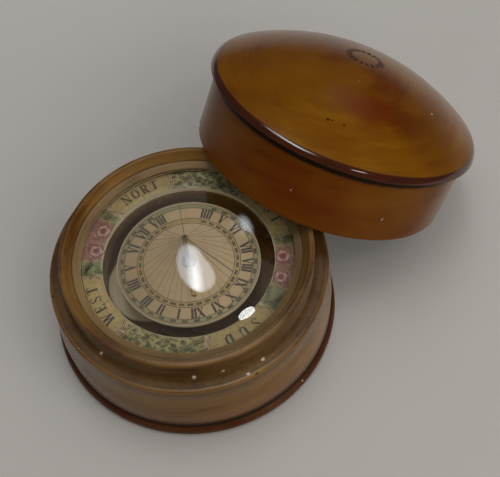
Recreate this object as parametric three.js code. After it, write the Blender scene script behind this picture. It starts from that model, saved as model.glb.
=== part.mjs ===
// A floating sundial compass in a turned boxwood case: a dial card that carries its own gnomon and
// magnet swings on a steel point under a domed glass, inside a printed ring of compass points.
// The lid leans beside the case as it was put down, its rim on the table and on the case's neck.
// Millimetres, +Z up. The origin is the middle of the case's flat underside.
import * as THREE from "three";

// Sizes of the case. Its other radii are stepped out and in from the neck that the lid goes over.
const NECK_RADIUS = 29.4;
const NECK_HEIGHT = 6.1;
const NECK_ROUNDING = 0.4;
const NECK_WALL = 2.7;
const LAND_WIDTH = 0.7;
const CHAMFER_DEPTH = 2.1;
const LEDGE_WIDTH = 3.4;
const SHOULDER_HEIGHT = 21;
const SHOULDER_ROUNDING = 0.6;
const WALL_FLARE = 1.1;
const GROOVE_HEIGHT = 0.8;
const GROOVE_DEPTH = 0.7;
const FOOT_STEP = 1.1;
const FOOT_HEIGHT = 3.2;
const FOOT_ROUNDING = 1.5;
const SHELF_DROP = 0.4;
const SHELF_WIDTH = 6.1;
const WELL_DEPTH = 9.1;

// Sizes of the ring of compass points and its board
const RING_OVERHANG = 0.5;
const RING_PAPER = 0.3;
const RING_BOARD = 0.7;

// Sizes of the glass and of the hoop that holds it down
const GLASS_THICKNESS = 1.2;
const GLASS_EDGE_HEIGHT = 0.6;
const GLASS_SHOULDER_INSET = 0.4;
const GLASS_SHOULDER_RISE = 0.6;
const GLASS_CROWN_RISE = 7.6;
const HOOP_WALL = 0.5;
const HOOP_HEIGHT = 3.1;
const HOOP_WIDTH = 1.7;
const HOOP_SLOPE_DROP = 0.9;

// Sizes of the swinging card and of what it carries
const CARD_GAP = 3.85;
const CARD_DROP = 0.35;
const CARD_PAPER = 0.3;
const CARD_BOARD = 0.6;
const CARD_BOARD_INSET = 0.15;
const HUB_OFFSET = 6.9;
const NEEDLE_LENGTH = 29;
const NEEDLE_WIDTH = 5.2;
const NEEDLE_TIP_WIDTH = 1.4;
const NEEDLE_THICKNESS = 0.8;
const STRAP_WIDTH = 2.6;
const STRAP_FOOT = 3;
const STRAP_PAPER = 0.3;
const STRAP_PLACE = 8.5;
const CAP_RADIUS = 1.6;
const CAP_WALL = 0.5;
const CAP_FLANGE_EDGE = 1.1;
const CAP_FLANGE = 0.5;
const CAP_RISE = 1.5;
const CAP_CROWN = 0.6;
const JEWEL_HEIGHT = 1;
const JEWEL_CUP_RADIUS = 0.6;
const JEWEL_CUP_DEPTH = 0.6;

// Sizes of the gnomon, a flat plate on the noon line
const GNOMON_THICKNESS = 0.9;
const GNOMON_HEIGHT = 7.6;
const GNOMON_LENGTH = 16.4;
const GNOMON_TOP_WIDTH = 0.5;
const GNOMON_SCROLL_HEIGHT = 3;
const GNOMON_TOE_HEIGHT = 0.7;
const TAB_WIDTH = 2;
const TAB_PLACES = [-4.6, 5.8];

// Sizes of the steel point and of the stud that holds it
const PIN_RADIUS = 0.45;
const PIN_TAPER = 1.6;
const PIN_DEPTH = 2.4;
const STUD_RADIUS = 3;
const STUD_FLANGE = 0.8;
const STUD_TOP_WALL = 0.6;
const STUD_HEIGHT = 3;
const SPIGOT_WALL = 0.85;
const SPIGOT_DEPTH = 3;

// Sizes of the lid, measured from its rim
const RIM_ROUNDING = 0.4;
const SKIRT_HEIGHT = 17.3;
const MOULDING_OVERHANG = 1.73;
const MOULDING_HEIGHT = 1.25;
const LID_CROWN_RISE = 10.3;
const CEILING_DROP = 1.8;
const CEILING_RISE = 7.4;

// Angles in degrees: the latitude the dial is drawn for, the card's heading and the lid's lean
const DIAL_LATITUDE = 51.5;
const CARD_HEADING = -91.6;
const LID_TILT = 28.5;
const LID_AZIMUTH = 33.6;

// Clearances
const LID_FIT = 0.3;
const GLUE_GAP = 0.1;
const TURNED_GAP = 0.2;
const SLOT_GAP = 0.15;
const POINT_GAP = 0.3;
const RESTING_GAP = 0.3;

// The gnomon's scrolled back, as shares of the run from its top to its toe and of its scroll
const CUSP_PLACE_SHARE = 0.26;
const CUSP_HEIGHT_SHARE = 0.66;
const SCROLL_END_PLACE_SHARE = 0.6;
const SCROLL_END_HEIGHT_SHARE = 0.5;
const BACK_BEND_SHARES = [0.06, 0.45, 0.2];
const SCROLL_BEND_SHARES = [0.28, 0.52, 1.18];
const TOE_BEND_SHARE = 0.72;

// How finely round things are cut
const TURN_STEPS = 60;
const SMALL_TURN_STEPS = 24;
const ARC_STEPS = 4;
const CROWN_STEPS = 8;
const CURVE_STEPS = 6;

// Heights above the table that several pieces share
const neckTop = SHOULDER_HEIGHT + NECK_HEIGHT;
const shelfTop = SHOULDER_HEIGHT - SHELF_DROP;
const ringBoardBottom = shelfTop + GLUE_GAP;
const ringPaperBottom = ringBoardBottom + RING_BOARD + GLUE_GAP;
const glassFoot = ringPaperBottom + RING_PAPER + GLUE_GAP;
const cardTop = SHOULDER_HEIGHT - CARD_DROP;
const cardBottom = cardTop - CARD_PAPER;
const boardTop = cardBottom - GLUE_GAP;
const boardBottom = boardTop - CARD_BOARD;
const needleTop = boardBottom - GLUE_GAP;
const needleBottom = needleTop - NEEDLE_THICKNESS;
const flangeTop = needleBottom - GLUE_GAP;
const flangeBottom = flangeTop - CAP_FLANGE;
const capTop = cardTop + CAP_RISE;
const capBoreTop = capTop - CAP_CROWN - CAP_WALL;
const jewelTop = capBoreTop - GLUE_GAP;
const jewelBottom = jewelTop - JEWEL_HEIGHT;
const pinTip = jewelBottom + JEWEL_CUP_DEPTH - POINT_GAP;
const floorHeight = shelfTop - WELL_DEPTH;
const spigotBottom = floorHeight - SPIGOT_DEPTH;

// Radii from the neck outwards, and from the neck inwards to the card
const ledgeRadius = NECK_RADIUS + LEDGE_WIDTH;
const wallFootRadius = ledgeRadius + WALL_FLARE;
const footRadius = wallFootRadius + FOOT_STEP;
const boreRadius = NECK_RADIUS - NECK_WALL;
const wellRadius = boreRadius - SHELF_WIDTH;
const cardRadius = wellRadius - CARD_GAP;

// Radii that fits give
const fittedRadius = boreRadius - TURNED_GAP;
const glassRadius = fittedRadius - HOOP_WALL - TURNED_GAP;
const capBoreRadius = CAP_RADIUS - CAP_WALL;
const capHoleRadius = CAP_RADIUS + SLOT_GAP;
const pinHoleRadius = PIN_RADIUS + GLUE_GAP;
const spigotRadius = pinHoleRadius + SPIGOT_WALL;
const lidRadius = ledgeRadius;
const lidInnerRadius = NECK_RADIUS + LID_FIT;
const hollowHeight = SKIRT_HEIGHT - CEILING_DROP;

const radians = THREE.MathUtils.degToRad;

// Materials
function material(name, color, roughness, metalness, opacity = 1) {
  const made = new THREE.MeshStandardMaterial({ color, roughness, metalness });
  made.name = name;
  made.opacity = opacity;
  made.transparent = opacity < 1;
  return made;
}

const boxwood = material("boxwood", 0x9a6424, 0.35, 0);
const lidWood = material("lid_boxwood", 0x9c5a18, 0.28, 0);
const hoopWood = material("hoop_wood", 0x7d5c33, 0.5, 0);
const glass = material("glass", 0xe6efe9, 0.05, 0, 0.35);
const printedPaper = material("printed_paper", 0xb9a678, 0.8, 0);
const pasteboard = material("pasteboard", 0xc9bd9c, 0.85, 0);
const brass = material("brass", 0xb08d4a, 0.35, 1);
const steel = material("steel", 0x6f7478, 0.4, 1);
const agate = material("agate", 0x8e6a52, 0.2, 0);

// Shared shape helpers
function point(across, up) {
  return new THREE.Vector2(across, up);
}

// Points of a circular arc from one angle to another, in degrees, both ends included.
function arc(centreRadius, centreHeight, size, from, to, steps = ARC_STEPS) {
  return Array.from({ length: steps + 1 }, (_, i) => {
    const angle = radians(from + ((to - from) * i) / steps);
    return point(centreRadius + size * Math.cos(angle), centreHeight + size * Math.sin(angle));
  });
}

// The radius of the sphere whose cap has this edge and this rise.
function sphereSize(edgeRadius, rise) {
  return (edgeRadius ** 2 + rise ** 2) / (2 * rise);
}

// Points on a sphere's outline from an edge radius in to the axis, whose top is at a given height.
function crown(edgeRadius, topHeight, size, steps = CROWN_STEPS) {
  const edgeAngle = Math.asin(edgeRadius / size);
  return Array.from({ length: steps + 1 }, (_, i) => {
    const angle = (edgeAngle * (steps - i)) / steps;
    return point(i === steps ? 0 : size * Math.sin(angle), topHeight - size * (1 - Math.cos(angle)));
  });
}

// A turned solid about +Z. Its outline runs anticlockwise, with the material on its left.
function turned(outline, steps = TURN_STEPS) {
  return new THREE.LatheGeometry(outline, steps).rotateX(Math.PI / 2);
}

// A flat ring.
function washer(innerRadius, outerRadius, bottom, thickness) {
  return turned([
    point(innerRadius, bottom),
    point(outerRadius, bottom),
    point(outerRadius, bottom + thickness),
    point(innerRadius, bottom + thickness),
    point(innerRadius, bottom),
  ]);
}

// A flat piece cut from sheet and laid level.
function sheet(shape, bottom, thickness, curveSegments) {
  const options = { depth: thickness, bevelEnabled: false, curveSegments };
  return new THREE.ExtrudeGeometry(shape, options).translate(0, 0, bottom);
}

function addPiece(parent, name, geometry, finish) {
  const mesh = new THREE.Mesh(geometry, finish);
  mesh.name = name;
  parent.add(mesh);
  return mesh;
}

// The case is one turned piece: foot, groove, wall, shoulder, neck, glass seat, shelf and well.
function caseBase() {
  const roundRadius = footRadius - FOOT_ROUNDING;
  const landRadius = NECK_RADIUS - NECK_ROUNDING - LAND_WIDTH;
  const holeRadius = spigotRadius + GLUE_GAP;
  const holeBottom = spigotBottom - GLUE_GAP;
  return turned([
    point(0, 0),
    ...arc(roundRadius, FOOT_ROUNDING, FOOT_ROUNDING, -90, 0),
    ...arc(roundRadius, FOOT_HEIGHT - FOOT_ROUNDING, FOOT_ROUNDING, 0, 60),
    point(wallFootRadius - GROOVE_DEPTH, FOOT_HEIGHT),
    point(wallFootRadius - GROOVE_DEPTH, FOOT_HEIGHT + GROOVE_HEIGHT / 2),
    point(wallFootRadius, FOOT_HEIGHT + GROOVE_HEIGHT),
    ...arc(
      ledgeRadius - SHOULDER_ROUNDING,
      SHOULDER_HEIGHT - SHOULDER_ROUNDING,
      SHOULDER_ROUNDING,
      0,
      90,
    ),
    point(NECK_RADIUS, SHOULDER_HEIGHT),
    ...arc(NECK_RADIUS - NECK_ROUNDING, neckTop - NECK_ROUNDING, NECK_ROUNDING, 0, 90),
    point(landRadius, neckTop),
    point(boreRadius, neckTop - CHAMFER_DEPTH),
    point(boreRadius, shelfTop),
    point(wellRadius, shelfTop),
    point(wellRadius, floorHeight),
    point(holeRadius, floorHeight),
    point(holeRadius, holeBottom),
    point(0, holeBottom),
  ]);
}

// The printed ring of compass points and the board under it overhang the well a little.
function ringLayer(bottom, thickness) {
  return washer(wellRadius - RING_OVERHANG, fittedRadius, bottom, thickness);
}

// The glass is a bowl of even thickness, edge down on the ring: a short edge, a narrow bevel
// and a crown that is part of a sphere.
const edgeTop = glassFoot + GLASS_EDGE_HEIGHT;
const crownRadius = glassRadius - GLASS_SHOULDER_INSET;
const crownFoot = edgeTop + GLASS_SHOULDER_RISE;
const glassTop = crownFoot + GLASS_CROWN_RISE;
const crownSize = sphereSize(crownRadius, GLASS_CROWN_RISE);

function glassDome() {
  // The inside corner under the crown's edge lies on the line that halves the bend there.
  const shoulderNormal = Math.atan2(GLASS_SHOULDER_INSET, GLASS_SHOULDER_RISE);
  const crownNormal = Math.PI / 2 - Math.asin(crownRadius / crownSize);
  const middle = (shoulderNormal + crownNormal) / 2;
  const step = GLASS_THICKNESS / Math.cos((crownNormal - shoulderNormal) / 2);
  const innerCrownRadius = crownRadius - step * Math.cos(middle);
  const innerTop = glassTop - GLASS_THICKNESS;
  const innerSize = crownSize - GLASS_THICKNESS;
  const innerRadius = glassRadius - GLASS_THICKNESS;
  return turned([
    point(innerRadius, glassFoot),
    point(glassRadius, glassFoot),
    point(glassRadius, edgeTop),
    ...crown(crownRadius, glassTop, crownSize),
    ...crown(innerCrownRadius, innerTop, innerSize).reverse(),
    point(innerRadius, glassFoot),
  ]);
}

// The hoop is sprung into the bore beside the glass, and its lip leans over the edge of the crown.
function glassHoop() {
  const top = glassFoot + HOOP_HEIGHT;
  const lip = top - HOOP_SLOPE_DROP;
  const innerRadius = glassRadius + TURNED_GAP;
  return turned([
    point(innerRadius, glassFoot),
    point(fittedRadius, glassFoot),
    point(fittedRadius, top),
    point(fittedRadius - HOOP_WIDTH, lip),
    point(innerRadius, edgeTop + TURNED_GAP),
    point(innerRadius, glassFoot),
  ]);
}

// The stud is let into the middle of the floor and bored for the pin.
function pivotStud() {
  const seat = floorHeight + GLUE_GAP;
  return turned(
    [
      point(pinHoleRadius, spigotBottom),
      point(spigotRadius, spigotBottom),
      point(spigotRadius, seat),
      point(STUD_RADIUS, seat),
      point(STUD_RADIUS, seat + STUD_FLANGE),
      point(pinHoleRadius + STUD_TOP_WALL, seat + STUD_HEIGHT),
      point(pinHoleRadius, seat + STUD_HEIGHT),
      point(pinHoleRadius, spigotBottom),
    ],
    SMALL_TURN_STEPS,
  );
}

function pivotPin() {
  const bottom = floorHeight - PIN_DEPTH;
  return turned(
    [point(0, bottom), point(PIN_RADIUS, bottom), point(PIN_RADIUS, pinTip - PIN_TAPER), point(0, pinTip)],
    SMALL_TURN_STEPS,
  );
}

// A disc of the swinging card: the cap comes up through its middle, the gnomon's tabs through slots.
function cardDisc(radius, bottom, thickness) {
  const disc = new THREE.Shape().absarc(0, 0, radius, 0, 2 * Math.PI);
  disc.holes.push(new THREE.Path().absarc(0, 0, capHoleRadius, 0, 2 * Math.PI, true));
  const halfLength = TAB_WIDTH / 2 + SLOT_GAP;
  const halfWidth = GNOMON_THICKNESS / 2 + SLOT_GAP;
  for (const place of TAB_PLACES) {
    const slot = new THREE.Path([
      point(place - halfLength, -halfWidth),
      point(place - halfLength, halfWidth),
      point(place + halfLength, halfWidth),
      point(place + halfLength, -halfWidth),
    ]);
    disc.holes.push(slot);
  }
  return sheet(disc, bottom, thickness, TURN_STEPS);
}

// The magnet is a flat lozenge along the noon line, with a hole for the cap.
function needle() {
  const reach = NEEDLE_LENGTH / 2;
  const half = NEEDLE_WIDTH / 2;
  const tipHalf = NEEDLE_TIP_WIDTH / 2;
  const lozenge = new THREE.Shape([
    point(0, -half),
    point(reach, -tipHalf),
    point(reach, tipHalf),
    point(0, half),
    point(-reach, tipHalf),
    point(-reach, -tipHalf),
  ]);
  lozenge.holes.push(new THREE.Path().absarc(0, 0, capHoleRadius, 0, 2 * Math.PI, true));
  return sheet(lozenge, needleBottom, NEEDLE_THICKNESS, SMALL_TURN_STEPS);
}

// A paper strap passes under one arm of the needle, and its ends are glued to the board.
function needleStrap(place) {
  const nearest = Math.abs(place) - STRAP_WIDTH / 2;
  const taper = (NEEDLE_WIDTH - NEEDLE_TIP_WIDTH) / NEEDLE_LENGTH;
  const inside = NEEDLE_WIDTH / 2 - taper * nearest + SLOT_GAP;
  const outside = inside + STRAP_PAPER;
  const end = outside + STRAP_FOOT;
  const footTop = boardBottom - GLUE_GAP;
  const footBottom = footTop - STRAP_PAPER;
  const slingTop = needleBottom - GLUE_GAP;
  const slingBottom = slingTop - STRAP_PAPER;
  const strap = new THREE.Shape([
    point(-end, footBottom),
    point(-outside, footBottom),
    point(-outside, slingBottom),
    point(outside, slingBottom),
    point(outside, footBottom),
    point(end, footBottom),
    point(end, footTop),
    point(inside, footTop),
    point(inside, slingTop),
    point(-inside, slingTop),
    point(-inside, footTop),
    point(-end, footTop),
  ]);
  const options = { depth: STRAP_WIDTH, bevelEnabled: false };
  const solid = new THREE.ExtrudeGeometry(strap, options);
  return solid.rotateX(Math.PI / 2).rotateZ(Math.PI / 2).translate(place - STRAP_WIDTH / 2, 0, 0);
}

// The cap is a brass thimble with a flange under the needle, open below for the jewel and the pin.
function cap() {
  const flangeRadius = CAP_RADIUS + CAP_FLANGE_EDGE;
  return turned(
    [
      point(0, capBoreTop),
      point(capBoreRadius, capBoreTop),
      point(capBoreRadius, flangeBottom),
      point(flangeRadius, flangeBottom),
      point(flangeRadius, flangeTop),
      point(CAP_RADIUS, flangeTop),
      ...crown(CAP_RADIUS, capTop, sphereSize(CAP_RADIUS, CAP_CROWN), ARC_STEPS),
    ],
    SMALL_TURN_STEPS,
  );
}

function capJewel() {
  const radius = capBoreRadius - GLUE_GAP;
  return turned(
    [
      point(0, jewelBottom + JEWEL_CUP_DEPTH),
      point(JEWEL_CUP_RADIUS, jewelBottom),
      point(radius, jewelBottom),
      point(radius, jewelTop),
      point(0, jewelTop),
    ],
    SMALL_TURN_STEPS,
  );
}

// The gnomon rises from the hub at the latitude's angle, falls in a scrolled back to its toe, is
// arched over the cap, and has two tabs that go down through the card and its board.
function gnomon() {
  const hub = -HUB_OFFSET;
  const foot = cardTop + GLUE_GAP;
  const top = foot + GNOMON_HEIGHT;
  const topStart = hub + GNOMON_HEIGHT / Math.tan(radians(DIAL_LATITUDE));
  const topEnd = topStart + GNOMON_TOP_WIDTH;
  const toe = hub + GNOMON_LENGTH;
  const run = toe - topEnd;
  const cusp = topEnd + CUSP_PLACE_SHARE * run;
  const cuspHeight = foot + CUSP_HEIGHT_SHARE * GNOMON_SCROLL_HEIGHT;
  const scrollEnd = topEnd + SCROLL_END_PLACE_SHARE * run;
  const scrollEndHeight = foot + SCROLL_END_HEIGHT_SHARE * GNOMON_SCROLL_HEIGHT;
  const [fall, fallHeight, sweep] = BACK_BEND_SHARES;
  const [swell, swellEnd, swellHeight] = SCROLL_BEND_SHARES;
  const swellTop = foot + swellHeight * GNOMON_SCROLL_HEIGHT;
  const outline = new THREE.Shape();
  outline.moveTo(hub, foot);
  outline.lineTo(topStart, top);
  outline.lineTo(topEnd, top);
  outline.bezierCurveTo(
    topEnd + fall * run,
    foot + fallHeight * GNOMON_HEIGHT,
    topEnd + sweep * run,
    cuspHeight,
    cusp,
    cuspHeight,
  );
  outline.bezierCurveTo(
    topEnd + swell * run,
    swellTop,
    topEnd + swellEnd * run,
    swellTop,
    scrollEnd,
    scrollEndHeight,
  );
  outline.quadraticCurveTo(topEnd + TOE_BEND_SHARE * run, foot + GNOMON_TOE_HEIGHT, toe, foot + GNOMON_TOE_HEIGHT);
  outline.lineTo(toe, foot);
  const archRadius = CAP_RADIUS + 2 * SLOT_GAP;
  const archHeight = capTop + POINT_GAP - foot;
  const addTab = (place) => {
    outline.lineTo(place + TAB_WIDTH / 2, foot);
    outline.lineTo(place + TAB_WIDTH / 2, boardBottom);
    outline.lineTo(place - TAB_WIDTH / 2, boardBottom);
    outline.lineTo(place - TAB_WIDTH / 2, foot);
  };
  const [southTab, northTab] = TAB_PLACES;
  addTab(northTab);
  outline.absellipse(0, foot, archRadius, archHeight, 0, Math.PI, false);
  addTab(southTab);
  const options = { depth: GNOMON_THICKNESS, bevelEnabled: false, curveSegments: CURVE_STEPS };
  const plate = new THREE.ExtrudeGeometry(outline, options);
  return plate.rotateX(Math.PI / 2).translate(0, GNOMON_THICKNESS / 2, 0);
}

// The lid is one turned piece: a straight skirt, a rounded moulding and a domed top over a hollow.
function lid() {
  const bead = MOULDING_HEIGHT / 2;
  const beadRadius = lidRadius + MOULDING_OVERHANG - bead;
  const topHeight = SKIRT_HEIGHT + MOULDING_HEIGHT + LID_CROWN_RISE;
  return turned([
    point(0, hollowHeight + CEILING_RISE),
    ...crown(lidInnerRadius, hollowHeight + CEILING_RISE, sphereSize(lidInnerRadius, CEILING_RISE))
      .reverse()
      .slice(1),
    point(lidInnerRadius, 0),
    ...arc(lidRadius - RIM_ROUNDING, RIM_ROUNDING, RIM_ROUNDING, -90, 0),
    point(lidRadius, SKIRT_HEIGHT),
    ...arc(beadRadius, SKIRT_HEIGHT + bead, bead, -90, 90),
    ...crown(beadRadius, topHeight, sphereSize(beadRadius, LID_CROWN_RISE)).slice(1),
  ]);
}

// How far a point, given by its distance from the case's axis and its height, is from a plain
// cylinder that stands on the table. It is negative inside.
function gapToCylinder(radius, height, size, top) {
  const beyond = radius - size;
  const above = height - top;
  if (beyond < 0 && above < 0) return Math.max(beyond, above);
  return Math.hypot(Math.max(beyond, 0), Math.max(above, 0));
}

// The least gap between the lid's rim, leaning at a distance from the case's axis, and the case.
function rimGap(distance, rimHeight) {
  const tilt = radians(LID_TILT);
  let least = Infinity;
  const tryPoint = (radius, up, angle) => {
    const along = radius * Math.cos(angle);
    const x = distance + along * Math.cos(tilt) + up * Math.sin(tilt);
    const y = radius * Math.sin(angle);
    const z = rimHeight - along * Math.sin(tilt) + up * Math.cos(tilt);
    const fromAxis = Math.hypot(x, y);
    least = Math.min(
      least,
      gapToCylinder(fromAxis, z, NECK_RADIUS, neckTop),
      gapToCylinder(fromAxis, z, ledgeRadius, SHOULDER_HEIGHT),
      gapToCylinder(fromAxis, z, footRadius, FOOT_HEIGHT),
    );
  };
  const turns = TURN_STEPS * ARC_STEPS;
  for (let i = 0; i <= turns; i++) {
    const angle = (Math.PI * i) / turns;
    for (let j = 0; j <= ARC_STEPS; j++) {
      tryPoint(lidInnerRadius + ((lidRadius - lidInnerRadius) * j) / ARC_STEPS, 0, angle);
      tryPoint(lidInnerRadius, (NECK_HEIGHT * j) / ARC_STEPS, angle);
    }
  }
  return least;
}

// The lid is moved out along its lean until its rim just clears the case's neck.
function leanDistance(rimHeight) {
  let near = 0;
  let far = 2 * (footRadius + lidRadius);
  while (far - near > RESTING_GAP / TURN_STEPS) {
    const middle = (near + far) / 2;
    if (rimGap(middle, rimHeight) < RESTING_GAP) near = middle;
    else far = middle;
  }
  return far;
}

// The case and everything fixed in it
const part = new THREE.Group();
part.name = "sundial_compass";
addPiece(part, "case_base", caseBase(), boxwood);
addPiece(part, "ring_board", ringLayer(ringBoardBottom, RING_BOARD), pasteboard);
addPiece(part, "compass_ring", ringLayer(ringPaperBottom, RING_PAPER), printedPaper);
addPiece(part, "glass_dome", glassDome(), glass);
addPiece(part, "glass_hoop", glassHoop(), hoopWood);
addPiece(part, "pivot_stud", pivotStud(), brass);
addPiece(part, "pivot_pin", pivotPin(), steel);

// The swinging card, whose own +X runs along the noon line towards twelve
const swing = new THREE.Group();
swing.rotation.z = radians(CARD_HEADING);
part.add(swing);
addPiece(swing, "dial_card", cardDisc(cardRadius, cardBottom, CARD_PAPER), printedPaper);
const boardRadius = cardRadius - CARD_BOARD_INSET;
addPiece(swing, "card_board", cardDisc(boardRadius, boardBottom, CARD_BOARD), pasteboard);
addPiece(swing, "magnet_needle", needle(), steel);
addPiece(swing, "needle_strap_south", needleStrap(-STRAP_PLACE), pasteboard);
addPiece(swing, "needle_strap_north", needleStrap(STRAP_PLACE), pasteboard);
addPiece(swing, "cap", cap(), brass);
addPiece(swing, "cap_jewel", capJewel(), agate);
addPiece(swing, "gnomon", gnomon(), brass);

// The lid, turned towards its azimuth and tipped so that its low edge meets the table
const tilt = radians(LID_TILT);
const lowEdge = (lidRadius - RIM_ROUNDING) * Math.sin(tilt) - RIM_ROUNDING * Math.cos(tilt);
const rimHeight = lowEdge + RIM_ROUNDING;
const lidTurn = new THREE.Group();
lidTurn.rotation.z = radians(LID_AZIMUTH);
part.add(lidTurn);
const lidLean = new THREE.Group();
lidLean.position.set(leanDistance(rimHeight), 0, rimHeight);
lidLean.rotation.y = tilt;
lidTurn.add(lidLean);
addPiece(lidLean, "lid", lid(), lidWood);

export default part;
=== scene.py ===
"""The looks of a floating sundial compass in a turned boxwood case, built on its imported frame."""

import math

import bmesh
import bpy
from bpy.props import FloatProperty, FloatVectorProperty, IntProperty, PointerProperty
from mathutils import Matrix, Vector, noise


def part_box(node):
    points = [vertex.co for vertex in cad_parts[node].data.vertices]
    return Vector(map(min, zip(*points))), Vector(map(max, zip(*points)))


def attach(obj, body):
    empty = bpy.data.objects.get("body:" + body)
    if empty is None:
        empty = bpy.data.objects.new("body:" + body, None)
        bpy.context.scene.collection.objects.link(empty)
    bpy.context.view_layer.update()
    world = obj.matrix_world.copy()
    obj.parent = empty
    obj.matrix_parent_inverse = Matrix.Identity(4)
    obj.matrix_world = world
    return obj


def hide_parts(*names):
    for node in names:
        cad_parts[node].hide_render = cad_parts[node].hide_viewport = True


bl_info = {
    "name": "Floating sundial compass",
    "version": (1, 0, 0),
    "blender": (4, 5, 0),
    "location": "3D View > Sidebar > Sundial",
    "description": "Builds a turned boxwood case with a swinging dial card under a domed glass",
    "category": "Object",
}

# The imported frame
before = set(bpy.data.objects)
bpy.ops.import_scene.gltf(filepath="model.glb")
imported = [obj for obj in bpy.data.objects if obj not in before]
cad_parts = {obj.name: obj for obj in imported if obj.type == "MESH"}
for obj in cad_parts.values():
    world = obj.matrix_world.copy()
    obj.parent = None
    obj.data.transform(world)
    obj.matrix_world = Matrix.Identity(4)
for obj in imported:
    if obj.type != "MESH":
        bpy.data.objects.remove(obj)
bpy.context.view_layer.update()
MM = 0.001


def box(node):
    """The low and the high corner of a node's box, in millimetres."""
    return (Vector(corner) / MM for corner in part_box(node))


# The boxes that the pieces take heights and radii from
_, CASE_HIGH = box("case_base")
RING_LOW, RING_HIGH = box("compass_ring")
BACKING_LOW, BACKING_HIGH = box("ring_board")
GLASS_LOW, GLASS_HIGH = box("glass_dome")
HOOP_LOW, HOOP_HIGH = box("glass_hoop")
CARD_LOW, CARD_HIGH = box("dial_card")
BOARD_LOW, BOARD_HIGH = box("card_board")
CAP_LOW, CAP_HIGH = box("cap")
_, PLATE_HIGH = box("gnomon")

# How the card and the lid lie at rest
CARD_TURN = Matrix.Rotation(math.radians(-91.6), 4, "Z")
LID_AZIMUTH, LID_TILT = math.radians(33.6), math.radians(28.5)
LID_RIM = Vector((38.742, 25.740, 15.508)) * MM
LID_PLACE = Matrix.Translation(LID_RIM) @ Matrix.Rotation(LID_AZIMUTH, 4, "Z") @ Matrix.Rotation(LID_TILT, 4, "Y")


def tone(red, green, blue):
    """A colour as it looks on screen, 0 to 255, as the light values that Blender works in."""
    return tuple((v / 255 / 12.92) if v <= 10 else ((v / 255 + 0.055) / 1.055) ** 2.4 for v in (red, green, blue))


# Sizes and colours that a user would change


def asked(kind, **fixed):
    """A sort of property that then needs only its name, description and default."""
    return lambda name, text, default: kind(name=name, description=text, default=default, min=0, **fixed)


length = asked(FloatProperty, unit="LENGTH", precision=5)
paint = asked(FloatVectorProperty, max=1, size=3, subtype="COLOR")
share = asked(FloatProperty, max=1, subtype="FACTOR")
power = asked(FloatProperty)


class SUNDIAL_PG_case(bpy.types.PropertyGroup):
    foot_radius: length("Foot radius", "Radius of the moulded foot", CASE_HIGH.x * MM)
    ledge_radius: length("Ledge radius", "Radius of the wall where the lid comes down on it", 32.8 * MM)
    ledge_height: length("Ledge height", "Height of the ledge above the table", 21 * MM)
    neck_radius: length("Neck radius", "Radius of the neck that the lid goes over", 29.4 * MM)
    bore_radius: length("Bore radius", "Radius of the bore that takes the glass", 26.7 * MM)
    well_radius: length("Well radius", "Radius of the well that the card swings in", 20.6 * MM)
    light: paint("Light wood", "Colour of the palest grain", tone(119, 88, 41))
    middle: paint("Middle wood", "Colour of most of the wood", tone(99, 70, 32))
    dark: paint("Dark wood", "Colour of the darkest grain", tone(64, 38, 13))
    # Besides old polish, this colour paints the shade in the quirks, gaps and hollows of the case.
    dirt: paint("Dirt", "Colour of old polish in the quirks", tone(30, 16, 9))
    gloss: share("Roughness", "How dull the polish is", 0.24)


class SUNDIAL_PG_lid(bpy.types.PropertyGroup):
    radius: length("Skirt radius", "Outer radius of the lid's skirt", 32.8 * MM)
    bore: length("Bore", "Inner radius of the lid's skirt", 29.7 * MM)
    skirt: length("Skirt height", "Height of the skirt up to the moulding", 17.3 * MM)
    bead: length("Moulding height", "Height of the rounded moulding", 1.25 * MM)
    overhang: length("Moulding overhang", "How far the moulding stands out over the skirt", 1.73 * MM)
    rounding: length("Moulding rounding", "Radius that rounds the moulding into the crown", 2.2 * MM)
    rise: length("Crown rise", "Rise of the domed top over the moulding", 10.3 * MM)
    light: paint("Light wood", "Colour of the palest grain", tone(106, 68, 8))
    middle: paint("Middle wood", "Colour of most of the wood", tone(93, 54, 5))
    dark: paint("Dark wood", "Colour of the darkest grain", tone(76, 35, 4))
    # Besides old polish, this colour paints the shadow under the moulding and the shade in the quirks.
    dirt: paint("Dirt", "Colour of old polish in the quirks", tone(18, 8, 4))
    gloss: share("Roughness", "How dull the polish is", 0.2)
    dots: IntProperty(name="Punched marks", description="Marks in the ring punched at the crown", default=18, min=3)


class SUNDIAL_PG_glass(bpy.types.PropertyGroup):
    thickness: length("Thickness", "Thickness of the glass", 1.2 * MM)
    crown_radius: length("Crown radius", "Radius where the crown meets the narrow bevel", 25.4 * MM)
    crown_rise: length("Crown rise", "Rise of the crown over that bevel", 7.6 * MM)
    tint: paint("Tint", "Colour that the glass lets through", (0.93, 0.955, 0.93))


class SUNDIAL_PG_prints(bpy.types.PropertyGroup):
    paper: paint("Paper", "Colour of the aged paper", tone(152, 127, 96))
    ink: paint("Ink", "Colour of the engraved lines", tone(36, 28, 21))
    green: paint("Green wash", "Colour of the green wash", tone(98, 98, 66))
    yellow: paint("Yellow wash", "Colour of the yellow wash", tone(136, 115, 66))
    rose: paint("Rose wash", "Colour of the rose wash", tone(112, 70, 66))
    board: paint("Pasteboard", "Colour of the board's cut edges", tone(168, 154, 124))


class SUNDIAL_PG_metals(bpy.types.PropertyGroup):
    brass: paint("Brass", "Colour of the brass", tone(112, 90, 56))
    steel: paint("Steel", "Colour of the steel", tone(96, 98, 100))
    agate: paint("Agate", "Colour of the stone in the cap", tone(140, 90, 66))


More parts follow.
